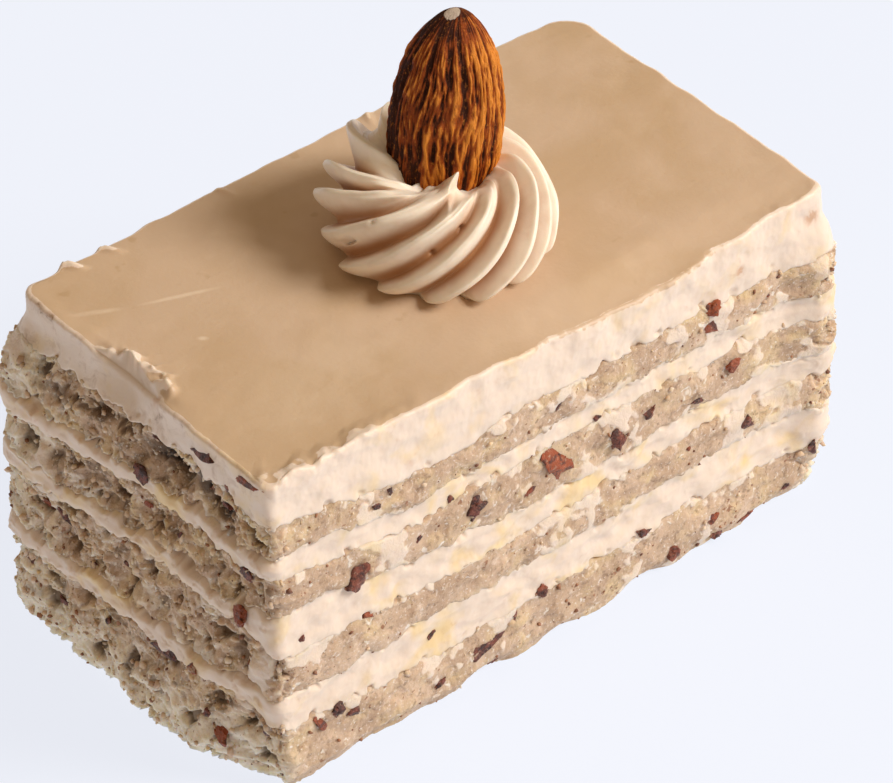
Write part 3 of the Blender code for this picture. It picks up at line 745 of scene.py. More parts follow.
def filling_surface(block, settings, number, x, y, fine_place, height, own_share, edge, rough, at_left):
    """(reach, hollow_shade, crumbed) of one place on a filling's cut side; here hollow_shade marks the torn notches,
    which are coloured darker.
    """
    relief = settings.filling_relief / MM
    rib = settings.filling_rib / MM
    reach = coarse_reach(block, number, x, y, height, own_share, relief, rib * (rough - 0.35))
    x, y = fine_place
    streaks = 0.20 * grain(x * 0.35, y * 0.35, height, 0.9, 6.0) + 0.16 * grain(x, y, height, 1.6, 4.0)
    reach += (0.3 + 0.25 * rough) * (streaks + 0.06 * grain(x, y, height, 0.55, 1.0))
    tear = smooth_step(0.20, 0.46, grain(x, y, height, 1.4, 21.0)) * smooth_step(1.0, 0.0, edge)
    patch = grain(x, y, height, 1.5, 71.0) + 0.6 * grain(x, y, height, 3.6, 73.0)
    patch += 0.3 * grain(x, y, height, 0.6, 75.0)
    crumbed = smooth_step(0.12, 0.34, patch) * (0.15 + 0.4 * rough)
    reach += crumbed * (0.12 + (0.15 + 0.4 * rough) * torn(x, y, height, 0.9, 3)) - 0.5 * tear
    tuck_from = blend(-0.30, 0.25, at_left)
    reach -= TUCK * (1.0 - smooth_step(-OVERLAP, tuck_from + 0.3, edge)) ** (1.3 - 0.5 * at_left)
    return reach, 0.7 * tear, crumbed


def rim_lift(block, x, y, at_x, at_y):
    """How high the cream that is pushed up along this part of the rim stands above the icing at a place near it."""
    at_front = block.near_front(y, RIM_BAND)
    knobs = 0.60 + 1.0 * grain(at_x, at_y, 0.0, 2.5, 31.0) + 0.4 * grain(at_x, at_y, 0.0, 1.2, 33.0)
    left_part = 1.0 - smooth_step(-34.0, -13.0, x)
    right_part = 0.2 * smooth_step(27.0, 33.0, x)
    lift = at_front * (0.7 * left_part + right_part) * knobs
    at_left = block.near_left(x, RIM_BAND)
    lift += 0.16 * at_left * smooth_step(4.0, 12.0, y) * (1.0 - at_front)
    at_back = block.near_back(y, BACK_RIM_BAND)
    for place, tall in BACK_TUFTS:
        lift += at_back * tall * bump_at(x, place, TUFT_WIDTH)
    return max(lift, 0.0)


def flake_lift(x, y):
    """(lift, share) of the crinkled cream that a spoon pushed up along the inner edge of its scoop."""
    along = smooth_step(-3.8, -1.6, y) * (1.0 - smooth_step(6.0, 9.4, y))
    line = -36.4 - 0.035 * (y - 1.5) ** 2 + 0.5 * grain(x, y, 0.0, 1.9, 15.0)
    bend_x, bend_y = x + 0.6 * grain(x, y, 0.0, 1.4, 16.0), y + 0.6 * grain(x, y, 0.0, 1.4, 18.0)
    band = bump_at(bend_x, line, 0.75 + 0.5 * along * max(grain(bend_x, bend_y, 0.0, 1.3, 23.0), -0.2))
    crinkle = 0.6 + 1.1 * grain(bend_x, bend_y, 0.0, 1.7, 17.0) + 0.35 * grain(bend_x, bend_y, 0.0, 0.8, 19.0)
    return max(1.1 * along * band * crinkle, 0.0), along * band


def spread_icing(block):
    """Models the icing: its cut sides, its rim and its upper face."""
    columns = len(block.columns)
    number = len(BOUNDARIES) - 1
    lows = [block.torn_edge(number, x, y) for x, y, _, _ in block.columns]
    wall_rows = ICING_ROWS - EDGE_ROWS
    insets = [ICING_EDGE + RING_STEP * ring for ring in range(RINGS_NEAR_RIM)]
    step = RING_STEP
    while insets[-1] < RINGS_REACH:
        step *= RING_GROWTH
        insets.append(insets[-1] + step)
    rings = len(insets)
    piece = turned_blank("icing_spread", columns, ICING_ROWS, END_RINGS, rings)
    places, pales_and_lip_highlight = [], []
    for column, share, ring in zip(*read_blank(piece, columns, END_RINGS, rings)):
        x, y, out_x, out_y = block.columns[column]
        low = lows[column]
        if ring and share < 0.5:
            height = blend(low, BOUNDARIES[number][0], END_SHARES[ring])
            places.append((*block.inset_place(x, y, END_INSETS[ring]), height))
            pales_and_lip_highlight.append(1.0)
            continue
        at_left, at_front = max(-out_x, 0.0), max(-out_y, 0.0)
        lift = rim_lift(block, x, y, x, y)
        rim_top = block.icing_height(x, y) + lift
        if ring:
            inset = insets[ring - 1]
            rim_push = icing_push(block, x, y, rim_top, low, rim_top, lift, at_front)
            held = rim_push * (1.0 - smooth_step(ICING_EDGE, 4.0, inset))
            in_x, in_y = block.inset_place(x, y, inset)
            in_x, in_y = in_x + out_x * held, in_y + out_y * held
            flake, pale_flake = flake_lift(in_x, in_y)
            height = block.icing_height(in_x, in_y)
            ridge_width = 2.3 + 1.4 * grain(x, y, 0.0, 2.6, 41.0)
            ridge = rim_lift(block, x, y, in_x, in_y)
            ridge *= 1.0 - smooth_step(0.1, max(ridge_width, 0.7), inset - ICING_EDGE)
            height += ridge + flake + 0.05 * grain(in_x, in_y, 0.0, 2.6, 43.0) * smooth_step(0.0, 1.0, inset)
            places.append((in_x, in_y, height))
            pale_and_lip_highlight = smooth_step(0.10, 0.45, ridge) + pale_flake * smooth_step(0.05, 0.4, flake)
            pale_and_lip_highlight += smooth_step(0.25, 0.7, block.scoop(in_x, in_y))
            # Painted highlight: the cut side's paler colour carried onto the first quarter millimetre of the rim on
            # the front and the left, for the lit lip
            pale_and_lip_highlight += (0.5 * at_front + 0.6 * at_left) * (1.0 - smooth_step(0.0, 0.25, inset - ICING_EDGE))
            pales_and_lip_highlight.append(min(pale_and_lip_highlight, 1.0))
            continue
        row = round(share * ICING_ROWS)
        arc = max(row - wall_rows, 0) / EDGE_ROWS
        height = blend(low - OVERLAP, rim_top - ICING_EDGE, min(row / wall_rows, 1.0))
        height += ICING_EDGE * math.sin(arc * EDGE_TURN)
        reach = icing_push(block, x, y, height, low, rim_top, lift, at_front)
        reach -= ICING_EDGE * (1.0 - math.cos(arc * EDGE_TURN))
        edge = height - low
        up = min(max(edge / (rim_top - low), 0.0), 1.0)
        tear = smooth_step(0.24, 0.5, grain(x, y, height, 1.5, 55.0)) * smooth_step(1.6, 0.0, edge)
        reach -= 0.5 * tear + TUCK * (1.0 - smooth_step(-OVERLAP, 0.15, edge)) ** 1.5
        places.append((x + out_x * reach, y + out_y * reach, height))
        soft_edge = bump_at(x, 10.0, 17.0) * at_front
        pales_and_lip_highlight.append(1.0 - 0.75 * smooth_step(0.84, 1.0, up) * soft_edge)
    return finish_piece(piece, places, "icing", {"pale_and_lip_highlight": pales_and_lip_highlight})


def icing_push(block, x, y, height, low, rim_top, lift, at_front):
    """How far the icing's cut side stands out of the plan at this height."""
    up = min(max((height - low) / (rim_top - low), 0.0), 1.0)
    push = block.swell(x, y, height) + ICING_RELIEF * crumb(x, y, height, CRUMB_SIZE, 77.0)
    knob = 0.20 * grain(x, y, height, 2.2, 51.0) + 0.10 * torn(x, y, height, 1.1, 3)
    push += knob * (0.3 + 0.7 * at_front) * (0.6 + 0.4 * up)
    push += 0.4 * lift * smooth_step(0.6, 1.0, up) * at_front * (0.4 + grain(x, y, height, 1.3, 57.0))
    return push - block.scoop(x, y) * up


def nut_chip(width, depth, tall, draw):
    """Models one chopped piece of nut: a lump with a few flat cuts and a broken skin."""
    deselect_all()
    bpy.ops.mesh.primitive_ico_sphere_add(subdivisions=3, radius=0.5, location=(0.0, 0.0, 0.0))
    chip = bpy.context.active_object
    mesh = chip.data
    cuts = []
    for _ in range(CHIP_CUTS):
        normal = Vector((draw.gauss(0, 1), draw.gauss(0, 1), draw.gauss(0, 1))).normalized()
        cuts.append((normal, draw.uniform(*CHIP_CUT_DEPTHS)))
    shift = Vector((draw.uniform(0, 50), 0, 0))
    for vertex in mesh.vertices:
        place = vertex.co * (1.0 + 0.5 * noise.noise(vertex.co * 3.0 + shift))
        for normal, keep in cuts:
            over = place.dot(normal) - keep
            if over > 0:
                place -= normal * over * 0.96
        vertex.co = place * (1.0 + 0.26 * noise.noise(place * 6.0 + shift) + 0.16 * noise.noise(place * 15.0 + shift))
    extent = [max(abs(vertex.co[axis]) for vertex in mesh.vertices) for axis in range(3)]
    for vertex in mesh.vertices:
        vertex.co.x *= 0.5 * width / extent[0]
        vertex.co.y *= 0.5 * depth / extent[1]
        vertex.co.z *= 0.5 * tall / extent[2]
    return chip


def nearest_wall(walls, origin, direction):
    """The first place that a ray meets on the cut sides, in millimetres, or None."""
    found = []
    for wall in walls:
        hit, place, _, _ = wall.ray_cast(origin * MM, direction)
        if hit:
            found.append(place)
    return min(found, key=lambda place: (place - origin * MM).length) / MM if found else None


def nut_spots(block):
    """(where a chip is looked for from, which way, width, tall) for every chip."""
    front, left = Vector((0, 1, 0)), Vector((1, 0, 0))
    place = Vector((*BLOCK_PLACE, 0.0))
    for along, height, width, tall in FRONT_NUTS:
        if along > CORNER_FROM:
            yield Vector((60.0, CORNER_ALONG, height)) + place, left * -1, width, tall
        else:
            yield Vector((along, -60.0, height)) + place, front, width, tall
    for along, height, width, tall in LEFT_NUTS:
        yield Vector((-70.0, along, height)) + place, left, width, tall
    draw = random.Random(NUT_SEED)
    for index in range(HIDDEN_NUTS):
        sponge = 2 * draw.randrange(4)
        low = BOUNDARIES[sponge - 1][0] if sponge else 1.0
        height = draw.uniform(low + 1.2, BOUNDARIES[sponge][0] - 1.0)
        width, tall = draw.uniform(*HIDDEN_NUT_WIDTHS), draw.uniform(*HIDDEN_NUT_TALLS)
        if index % 3 == 0:
            spot = Vector((70.0, draw.uniform(-0.42, 0.42) * block.width, height))
            yield spot + place, left * -1, width, tall
        else:
            spot = Vector((draw.uniform(-0.46, 0.46) * block.length, 60.0, height))
            yield spot + place, front * -1, width, tall


def set_chips(block, walls):
    """Models every chopped nut, presses it into the cut sides, and joins them."""
    chips = []
    draw = random.Random(NUT_SEED + 1)
    for start, way, width, tall in nut_spots(block):
        place = nearest_wall(walls, start, way)
        if place is None:
            raise RuntimeError(f"no cut side lies in front of {tuple(start)}")
        depth = CHIP_DEPTH * min(width, tall)
        chip = nut_chip(width, depth, tall, draw)
        turn = Matrix.Rotation(math.atan2(way.y, way.x) - math.pi / 2, 4, "Z")
        tilt = Matrix.Rotation(draw.uniform(-CHIP_TILT, CHIP_TILT), 4, "Y")
        inward = draw.uniform(*CHIP_SINKS) * depth
        if way.x > 0:
            inward += (0.08 if place.z > ICING_FROM else -0.18) * depth
        chip.data.transform(turn @ tilt)
        place.z = max(place.z, 0.62 * tall)
        chip.data.transform(Matrix.Translation(place + way * inward))
        tone = 1.0 if tall > RED_CHIPS_FROM else draw.random()
        store(chip.data, "tone", [tone] * len(chip.data.vertices))
        chips.append(chip)
    piece = join_as("nut_chips", chips)
    piece.data.transform(Matrix.Scale(MM, 4))
    bpy.ops.object.shade_smooth()
    bpy.ops.object.shade_smooth_by_angle(angle=CHIP_SHARP_FROM)
    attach(piece, "root")
    deselect_all()
    return piece


def mark_bare_crumb(block, host):
    """Stores where loose crumbs may lie, most on the rough sides, and where specks may, both clear of the smears."""
    mesh = host.data
    bare, speckled = [], []
    smears, torns = mesh.attributes["smear"].data, mesh.attributes["torn"].data
    for vertex in mesh.vertices:
        x, y = vertex.co.x / MM - BLOCK_PLACE[0], vertex.co.y / MM - BLOCK_PLACE[1]
        on_wall = abs(x) > block.length / 2 - WALL_DEPTH or abs(y) > block.width / 2 - WALL_DEPTH
        open_crumb = (1.0 - smears[vertex.index].value) if on_wall else 0.0
        bare.append(open_crumb * torns[vertex.index].value ** 1.6)
        cluster = smooth_step(0.0, 0.35, grain(x, y, vertex.co.z / MM, 5.0, 27.0))
        speckled.append(open_crumb * (0.25 + 0.75 * cluster))
    store(mesh, "bare", bare)
    store(mesh, "speckled", speckled)


def scatter_group(name, grains, share, density, seed, smallest, largest):
    """A node group that lays grains on the crumb of its host, most of them small, and realizes them."""
    group = bpy.data.node_groups.new(name, "GeometryNodeTree")
    group.interface.new_socket("Geometry", in_out="INPUT", socket_type="NodeSocketGeometry")
    group.interface.new_socket("Geometry", in_out="OUTPUT", socket_type="NodeSocketGeometry")

    def node(kind, output=0, inputs=(), **settings):
        return add_node(group, kind, inputs, output, **settings)

    host = node("NodeGroupInput")
    spread = node("GeometryNodeInputNamedAttribute", "Attribute", {"Name": share}, data_type="FLOAT")
    amount = node("ShaderNodeMath", 0, {0: spread, 1: density / MM**2}, operation="MULTIPLY")
    spots = node("GeometryNodeDistributePointsOnFaces", "Points", {"Mesh": host, "Density": amount, "Seed": seed})
    grain_shape = node("GeometryNodeObjectInfo", "Geometry", {"Object": grains})
    turn = node("FunctionNodeRandomValue", 0, {"Max": (math.tau,) * 3, "Seed": seed + 1}, data_type="FLOAT_VECTOR")
    drawn = node("FunctionNodeRandomValue", 1, {"Seed": seed + 2}, data_type="FLOAT")
    rare = node("ShaderNodeMath", 0, {0: drawn, 1: 3.0}, operation="POWER")
    size = node("ShaderNodeMapRange", 0, {"Value": rare, "To Min": smallest, "To Max": largest})
    stretch = node("FunctionNodeRandomValue", 0, {"Min": (0.6, 0.6, 0.5), "Max": (1.3, 1.2, 1.0), "Seed": seed + 3},
                   data_type="FLOAT_VECTOR")
    scale = node("ShaderNodeVectorMath", 0, {0: stretch, "Scale": size}, operation="SCALE")
    copies = node("GeometryNodeInstanceOnPoints", 0,
                  {"Points": spots, "Instance": grain_shape, "Rotation": turn, "Scale": scale})
    realized = node("GeometryNodeRealizeInstances", 0, {"Geometry": copies})
    end = group.nodes.new("NodeGroupOutput")
    group.links.new(realized, end.inputs[0])
    return group


def scatter(name, hosts, share, density, seed, smallest, largest):
    """Lays loose grains on the hosts' crumb, most where the attribute share is high. Every host's grains are made
    on a copy of its mesh, then joined."""
    deselect_all()
    bpy.ops.mesh.primitive_ico_sphere_add(subdivisions=1, radius=0.5 * MM, location=(0.0, 0.0, 0.0))
    grains = bpy.context.active_object
    draw = random.Random(seed)
    for vertex in grains.data.vertices:
        vertex.co *= draw.uniform(*GRAIN_BUMPS)
    bpy.ops.object.shade_smooth()
    made = []
    for index, host in enumerate(hosts):
        layer = bpy.data.objects.new(f"{name}_{index}", host.data.copy())
        bpy.context.scene.collection.objects.link(layer)
        layer.data.materials.clear()
        modifier = layer.modifiers.new("scatter", "NODES")
        modifier.node_group = scatter_group(f"{name}_{index}", grains, share, density, seed + 10 * index, smallest,
                                            largest)
        make_only(layer)
        bpy.ops.object.modifier_apply(modifier=modifier.name)
        made.append(layer)
    piece = join_as(name, made)
    for vertex in piece.data.vertices:
        vertex.co.z = max(vertex.co.z, LOWEST_GRAIN * MM)
    bpy.data.objects.remove(grains)
    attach(piece, "root")
    deselect_all()
    return piece


def eased(low, high, slope_low, slope_high, part):
    """The smooth curve from low to high that starts and ends with these slopes."""
    return (
        (2 * part**3 - 3 * part**2 + 1) * low + (part**3 - 2 * part**2 + part) * slope_low
        + (-2 * part**3 + 3 * part**2) * high + (part**3 - part**2) * slope_high
    )


def profile_at(share):
    """(radius, height, ridge depth, turn) at a share of the way up the rosette and into its hollow."""
    steps = len(ROSETTE_PROFILE) - 1
    at = min(max(share, 0.0), 1.0) * steps
    step = min(int(at), steps - 1)
    part = at - step
    rows = [ROSETTE_PROFILE[min(max(step + offset, 0), steps)] for offset in (-1, 0, 1, 2)]
    return [
        eased(this, after, 0.5 * (after - before), 0.5 * (beyond - this), part)
        for before, this, after, beyond in zip(*rows)
    ]


def ridge_at(turn):
    """(wave, flare) for a start angle in degrees: 1 on a ridge's round lip, falling slowly to the valley under the
    steep side of the next ridge. Flare is how far the nearer ridge flares out and up, and at what height."""
    turn = (turn - RIDGE_STARTS[0]) % 360.0 + RIDGE_STARTS[0]
    starts = RIDGE_STARTS + (RIDGE_STARTS[0] + 360,)
    index = max(i for i, start in enumerate(starts[:-1]) if start <= turn)
    phase = (turn - starts[index]) / (starts[index + 1] - starts[index])
    near = starts[index] if phase < VALLEY_AT else starts[(index + 1) % len(RIDGE_STARTS)]
    flare = RIDGE_FLARES.get(near % 360, NO_FLARE)
    floor = FIRST_VALLEY_FLOOR if index == 0 else 0.0
    if phase < VALLEY_AT:
        wave = 0.5 + 0.5 * math.cos(math.pi * (max(phase - 0.05, 0.0) / (VALLEY_AT - 0.05)) ** 0.85)
    else:
        wave = math.sin(0.5 * math.pi * min((phase - VALLEY_AT) / (0.97 - VALLEY_AT), 1.0))
    return max(wave, floor * smooth_step(0.0, 0.2, phase)), flare


def pipe_rosette(block, settings):
    """Models the piped swirl: star ridges that wind up from the base and close round the almond."""
    columns, end_rings = ROSETTE_COLUMNS, ROSETTE_END_RINGS
    piece = turned_blank("rosette_piped", columns, ROSETTE_ROWS, end_rings, end_rings)
    places, valley_shades = [], []
    top = block.top + ROSETTE_LIFT
    peak = math.radians(PEAK_DIRECTION)
    tip = (PEAK_RADIUS * math.cos(peak), PEAK_RADIUS * math.sin(peak))
    ridges = [ridge_at(360.0 * column / columns) for column in range(columns)]
    for column, share, ring in zip(*read_blank(piece, columns, end_rings, end_rings)):
        turn = math.tau * column / columns
        radius, height, depth, sweep = profile_at(share)
        wave, (flare_out, flare_up, flare_height) = ridges[column]
        open_wave = settings.petal_share * math.exp(-(((height - flare_height) / FLARE_TALL) ** 4)) * wave**1.3
        uneven = 1.0 + 0.14 * math.sin(3 * turn + 0.7) + 0.08 * math.sin(5 * turn)
        ruffle = 1.0 + 0.25 * grain(4.0 * math.cos(turn), 4.0 * math.sin(turn), height, 2.4, 64.0)
        facing = turn + math.radians(sweep)
        beside = max(math.cos(facing - ROSETTE_LEFT), 0.0) ** 1.5
        push = settings.ridge_depth / MM * depth * uneven * (wave - 0.5 + 0.22 * beside) * (1.0 - 0.38 * beside)
        push += 0.22 * grain(3.2 * math.cos(turn), 3.2 * math.sin(turn), 0.35 * height, 0.9, 66.0)
        crease = smooth_step(0.45, 0.7, share) * smooth_step(1.0, 0.85, share)
        push += 0.3 * crease * grain(9.0 * math.cos(turn), 9.0 * math.sin(turn), 0.3 * height, 0.9, 68.0)
        reach = radius + push + flare_out * open_wave * ruffle * depth
        rise = (RIDGE_RISE * push + flare_up * open_wave) * smooth_step(*RISE_STARTS_OVER, height)
        if ring:
            reach *= 1.0 - ring / (end_rings + 1)
        lean = -(0.40 + 0.16 * flare_out * open_wave) * wave * wave * depth / radius
        angle = turn + math.radians(sweep) + lean
        reach -= 0.7 * max(math.cos(angle - ROSETTE_FLAT_SIDE), 0.0) ** 2 * smooth_step(5.0, 11.0, reach)
        x, y = reach * math.cos(angle), reach * math.sin(angle)
        height += rise
        if share > 0.0:
            off_x, off_y = x - tip[0], y - tip[1]
            ahead = off_x * PEAK_LEANS[0] + off_y * PEAK_LEANS[1]
            away = math.hypot(off_x, off_y) * (0.85 + 1.0 * smooth_step(-0.2, 0.6, ahead))
            sharp = bump_at(away, 0.0, PEAK_TIP)
            peak_share = (1.0 - PEAK_TIP_SHARE) * bump_at(away, 0.0, PEAK_FOOT) + PEAK_TIP_SHARE * sharp
            height += settings.peak_height / MM * peak_share
            x += PEAK_LEANS_BY * PEAK_LEANS[0] * sharp
            y += PEAK_LEANS_BY * PEAK_LEANS[1] * sharp
            height += 0.07 * grain(x, y, height, 2.0, 61.0)
            x, y, height = dimpled(x, y, height)
        else:
            height = -ROSETTE_SINKS
        places.append((x + ROSETTE_CENTRE[0], y + ROSETTE_CENTRE[1], top + height))
        # Painted shade: how deep the place lies in a valley between ridges
        valley_shades.append((1.0 - wave) * depth)
    return finish_piece(piece, places, "rosette", {"valley_shade": valley_shades})


def dimpled(x, y, height):
    """Sinks a place that lies in one of the swirl's small air holes."""
    for hole_x, hole_y, hole_height, size, depth in AIR_HOLES:
        away = math.dist((x, y, height), (hole_x, hole_y, hole_height))
        if away < 2.5 * size:
            sink = depth * bump_at(away, 0.0, size) / math.hypot(x, y)
            x, y = x * (1.0 - sink), y * (1.0 - sink)
            height -= 0.4 * depth * bump_at(away, 0.0, size)
    return x, y, height


def almond_width(share):
    """The almond's width at a share of its length: round foot, widest low down, narrow blunt top."""
    points = ALMOND_PROFILE
    index = max(i for i, point in enumerate(points[:-1]) if point[0] <= max(share, 0.0))
    (start, low), (end, high) = points[index], points[index + 1]
    before = points[max(index - 1, 0)]
    after = points[min(index + 2, len(points) - 1)]
    slope_low = (high - before[1]) / (end - before[0])
    slope_high = (after[1] - low) / (after[0] - start)
    gap = end - start
    return eased(low, high, gap * slope_low, gap * slope_high, min((share - start) / gap, 1.0))


def almond_frame(block):
    facing = math.radians(ALMOND_FACES)
    front = Vector((math.cos(facing), math.sin(facing), 0.0))
    right = Vector((-front.y, front.x, 0.0))
    upright = Matrix((right, -front, Vector((0.0, 0.0, 1.0)))).transposed()
    lean = Matrix.Rotation(math.radians(-ALMOND_LEANS_BACK), 3, "X")
    lean = Matrix.Rotation(math.radians(ALMOND_LEANS_RIGHT), 3, "Y") @ lean
    foot = Vector((ROSETTE_CENTRE[0] + ALMOND_SHIFT[0], ROSETTE_CENTRE[1] + ALMOND_SHIFT[1], block.top + ALMOND_FOOT))
    return Matrix.Translation(foot) @ (upright @ lean).to_4x4()


def skin_noise(cos_turn, sin_turn, at, tight, steep, shift=0.0):
    """Noise on the almond: how tight its pattern is round the almond, how steep along it, and where it starts."""
    return noise.noise(Vector((tight * cos_turn, tight * sin_turn, steep * at + shift)))


def stand_almond(block, settings):
    """Models the almond: a flattened drop with wrinkles that run from its foot to the scar on its blunt top."""
    columns, end_rings = ALMOND_COLUMNS, ALMOND_END_RINGS
    piece = turned_blank("almond_whole", columns, ALMOND_ROWS, end_rings, end_rings)
    long, wide, thick = settings.length / MM, settings.width / MM, settings.thickness / MM
    depth = settings.wrinkle_depth / MM
    to_place = almond_frame(block)
    places, grooves_and_painted_shade, tips = [], [], []
    for column, share, ring in zip(*read_blank(piece, columns, end_rings, end_rings)):
        at = 0.5 - 0.5 * math.cos(math.pi * blend(0.035, 0.95, share))
        inward = 1.0 - ring / (end_rings + 0.5)
        width = almond_width(at) * inward
        turn = math.tau * column / columns
        cos_turn, sin_turn = math.cos(turn), math.sin(turn)
        broad = skin_noise(cos_turn, sin_turn, at, 2.4, 1.3)
        sway = 0.13 * skin_noise(cos_turn, sin_turn, at, 1.5, 3.0, 7.0)
        sway += 0.03 * skin_noise(cos_turn, sin_turn, at, 5.0, 9.0, 3.0)
        wave = cos_turn - sway * sin_turn, sin_turn + sway * cos_turn
        ridge = 1.0 - 2.4 * abs(skin_noise(*wave, at, 6.4, 2.2, 4.0))
        branch = 1.0 - 2.4 * abs(skin_noise(*wave, at, 13.0, 6.0, 9.0))
        fine = skin_noise(*wave, at, 27.0, 22.0, 2.0)
        wrinkle = 0.55 * (ridge - 0.55) + 0.42 * (branch - 0.55) + 0.5 * fine + 0.5 * broad
        hold = smooth_step(0.05, 0.40, at) * (0.25 + 0.75 * smooth_step(0.96, 0.80, at)) * inward
        out = depth * wrinkle * hold
        across = (0.5 * wide * width + out) * cos_turn
        through = (0.5 * thick * max(width, 0.7 * almond_width(at) ** 0.8 * inward) + out) * sin_turn
        cap = (1.0 - inward) if share > 0.5 else 0.0
        height = at * (long - 0.3) + ALMOND_CAP * math.sin(0.5 * math.pi * cap)
        places.append(tuple(to_place @ Vector((across, through, height))))
        # Painted shade on the almond's left side and a painted highlight on its right side, added to the value that
        # darkens the grooves
        shade = 0.24 * smooth_step(0.1, -1.0, cos_turn) - 0.22 * smooth_step(0.0, 0.9, cos_turn)
        contrast = 0.5 + 0.5 * smooth_step(0.97, 0.80, at)
        grooves_and_painted_shade.append(0.5 - wrinkle * contrast + shade + 0.22 * smooth_step(0.86, 0.96, at))
        from_scar = [(is_at - place) / size for is_at, place, size in zip((across, through), SCAR_PLACE, SCAR_SIZE)]
        scar = 1.0 - smooth_step(0.8, 1.05, math.hypot(*from_scar))
        dot = 1.0 - smooth_step(0.15, 0.35, math.dist((across, through), DOT_PLACE))
        tip = max(0.5 * smooth_step(0.978, 0.992, at), scar * smooth_step(0.93, 0.95, at))
        tips.append(blend(tip, 0.5, dot * smooth_step(0.93, 0.95, at)))
    return finish_piece(piece, places, "almond", {"groove_and_painted_shade": grooves_and_painted_shade, "tip": tips})


class Recipe:
    """A material under construction. Its patterns lie in the piece's own space, sized in millimetres."""

    def __init__(self, name, roughness, shine=0.5):
        self.material = bpy.data.materials.new(name)
        self.material.use_nodes = True
        self.tree = self.material.node_tree
        self.shader = self.tree.nodes["Principled BSDF"]
        self.shader.inputs["Roughness"].default_value = roughness
        self.shader.inputs["Specular IOR Level"].default_value = shine
        self.space = self.node("ShaderNodeTexCoord", output="Object")

    def node(self, kind, inputs=(), output=0, **settings):
        return add_node(self.tree, kind, inputs, output, **settings)

    def stretched(self, scale, turn=0.0):
        return self.node("ShaderNodeMapping", {"Vector": self.space, "Scale": scale, "Rotation": (0, 0, turn)})

    def noise(self, size, detail=2.0, roughness=0.5, distortion=0.0, space=None):
        inputs = {"Vector": space or self.space, "Scale": 1.0 / (size * MM), "Detail": detail,
                  "Roughness": roughness, "Distortion": distortion}
        return self.node("ShaderNodeTexNoise", inputs)

    def cells(self, size, output="Distance", feature="F1", space=None):
        inputs = {"Vector": space or self.space, "Scale": 1.0 / (size * MM)}
        return self.node("ShaderNodeTexVoronoi", inputs, output, feature=feature)

    def axis(self, name):
        return self.node("ShaderNodeSeparateXYZ", {"Vector": self.space}, name)

    def attribute(self, name):
        return self.node("ShaderNodeAttribute", output="Fac", attribute_name=name)

    def fit(self, value, low, high, to_low=0.0, to_high=1.0):
        inputs = {"Value": value, "From Min": low, "From Max": high, "To Min": to_low, "To Max": to_high}
        return self.node("ShaderNodeMapRange", inputs, interpolation_type="SMOOTHSTEP")

    def sum(self, first, second, operation="ADD"):
        return self.node("ShaderNodeMath", {0: first, 1: second}, operation=operation)

    def times(self, first, second):
        return self.sum(first, second, "MULTIPLY")

    def mix(self, share, first, second, blend_type="MIX"):
        made = self.tree.nodes.new("ShaderNodeMix")
        made.data_type = "RGBA"
        made.blend_type = blend_type
        for index, value in ((0, share), (6, first), (7, second)):
            if isinstance(value, bpy.types.NodeSocket):
                self.tree.links.new(value, made.inputs[index])
            else:
                made.inputs[index].default_value = (*value, 1.0) if index else value
        return made.outputs[2]

    def tint(self, base, value, low, high, tone, most=1.0):
        """Mixes a tone into the base as the value goes from low to high, up to this share."""
        return self.mix(self.fit(value, low, high, 0.0, most), base, tone)

    def bump(self, height, depth, strength=1.0, under=None):
        inputs = {"Height": height, "Distance": depth * MM, "Strength": strength}
        if under:
            inputs["Normal"] = under
        return self.node("ShaderNodeBump", inputs, "Normal")

    def patch(self, place, turn, length, width, height=0.0, tall=2000.0):
        """1 in the middle of a longish patch at this place of the block, 0 round it, at all heights or at one."""
        inputs = {
            "Vector": self.space,
            "Location": ((place[0] + BLOCK_PLACE[0]) * MM, (place[1] + BLOCK_PLACE[1]) * MM, height * MM),
            "Rotation": (0.0, 0.0, math.radians(turn)),
            "Scale": (0.5 * length * MM, 0.5 * width * MM, 0.5 * tall * MM),
        }
        local = self.node("ShaderNodeMapping", inputs, vector_type="TEXTURE")
        away = self.node("ShaderNodeVectorMath", {0: local}, "Value", operation="LENGTH")
        return self.fit(away, 1.0, 0.2)

    def soften(self, weight, reach, scale):
        """Lets light into the piece: weight, how far each colour reaches, and the scale in millimetres."""
        self.shader.inputs["Subsurface Weight"].default_value = weight
        self.shader.inputs["Subsurface Radius"].default_value = reach
        self.shader.inputs["Subsurface Scale"].default_value = scale * MM

    def finish(self, base, normal=None, roughness=None):
        self.tree.links.new(base, self.shader.inputs["Base Color"])
        if normal:
            self.tree.links.new(normal, self.shader.inputs["Normal"])
        if roughness:
            self.tree.links.new(roughness, self.shader.inputs["Roughness"])
        return self.material


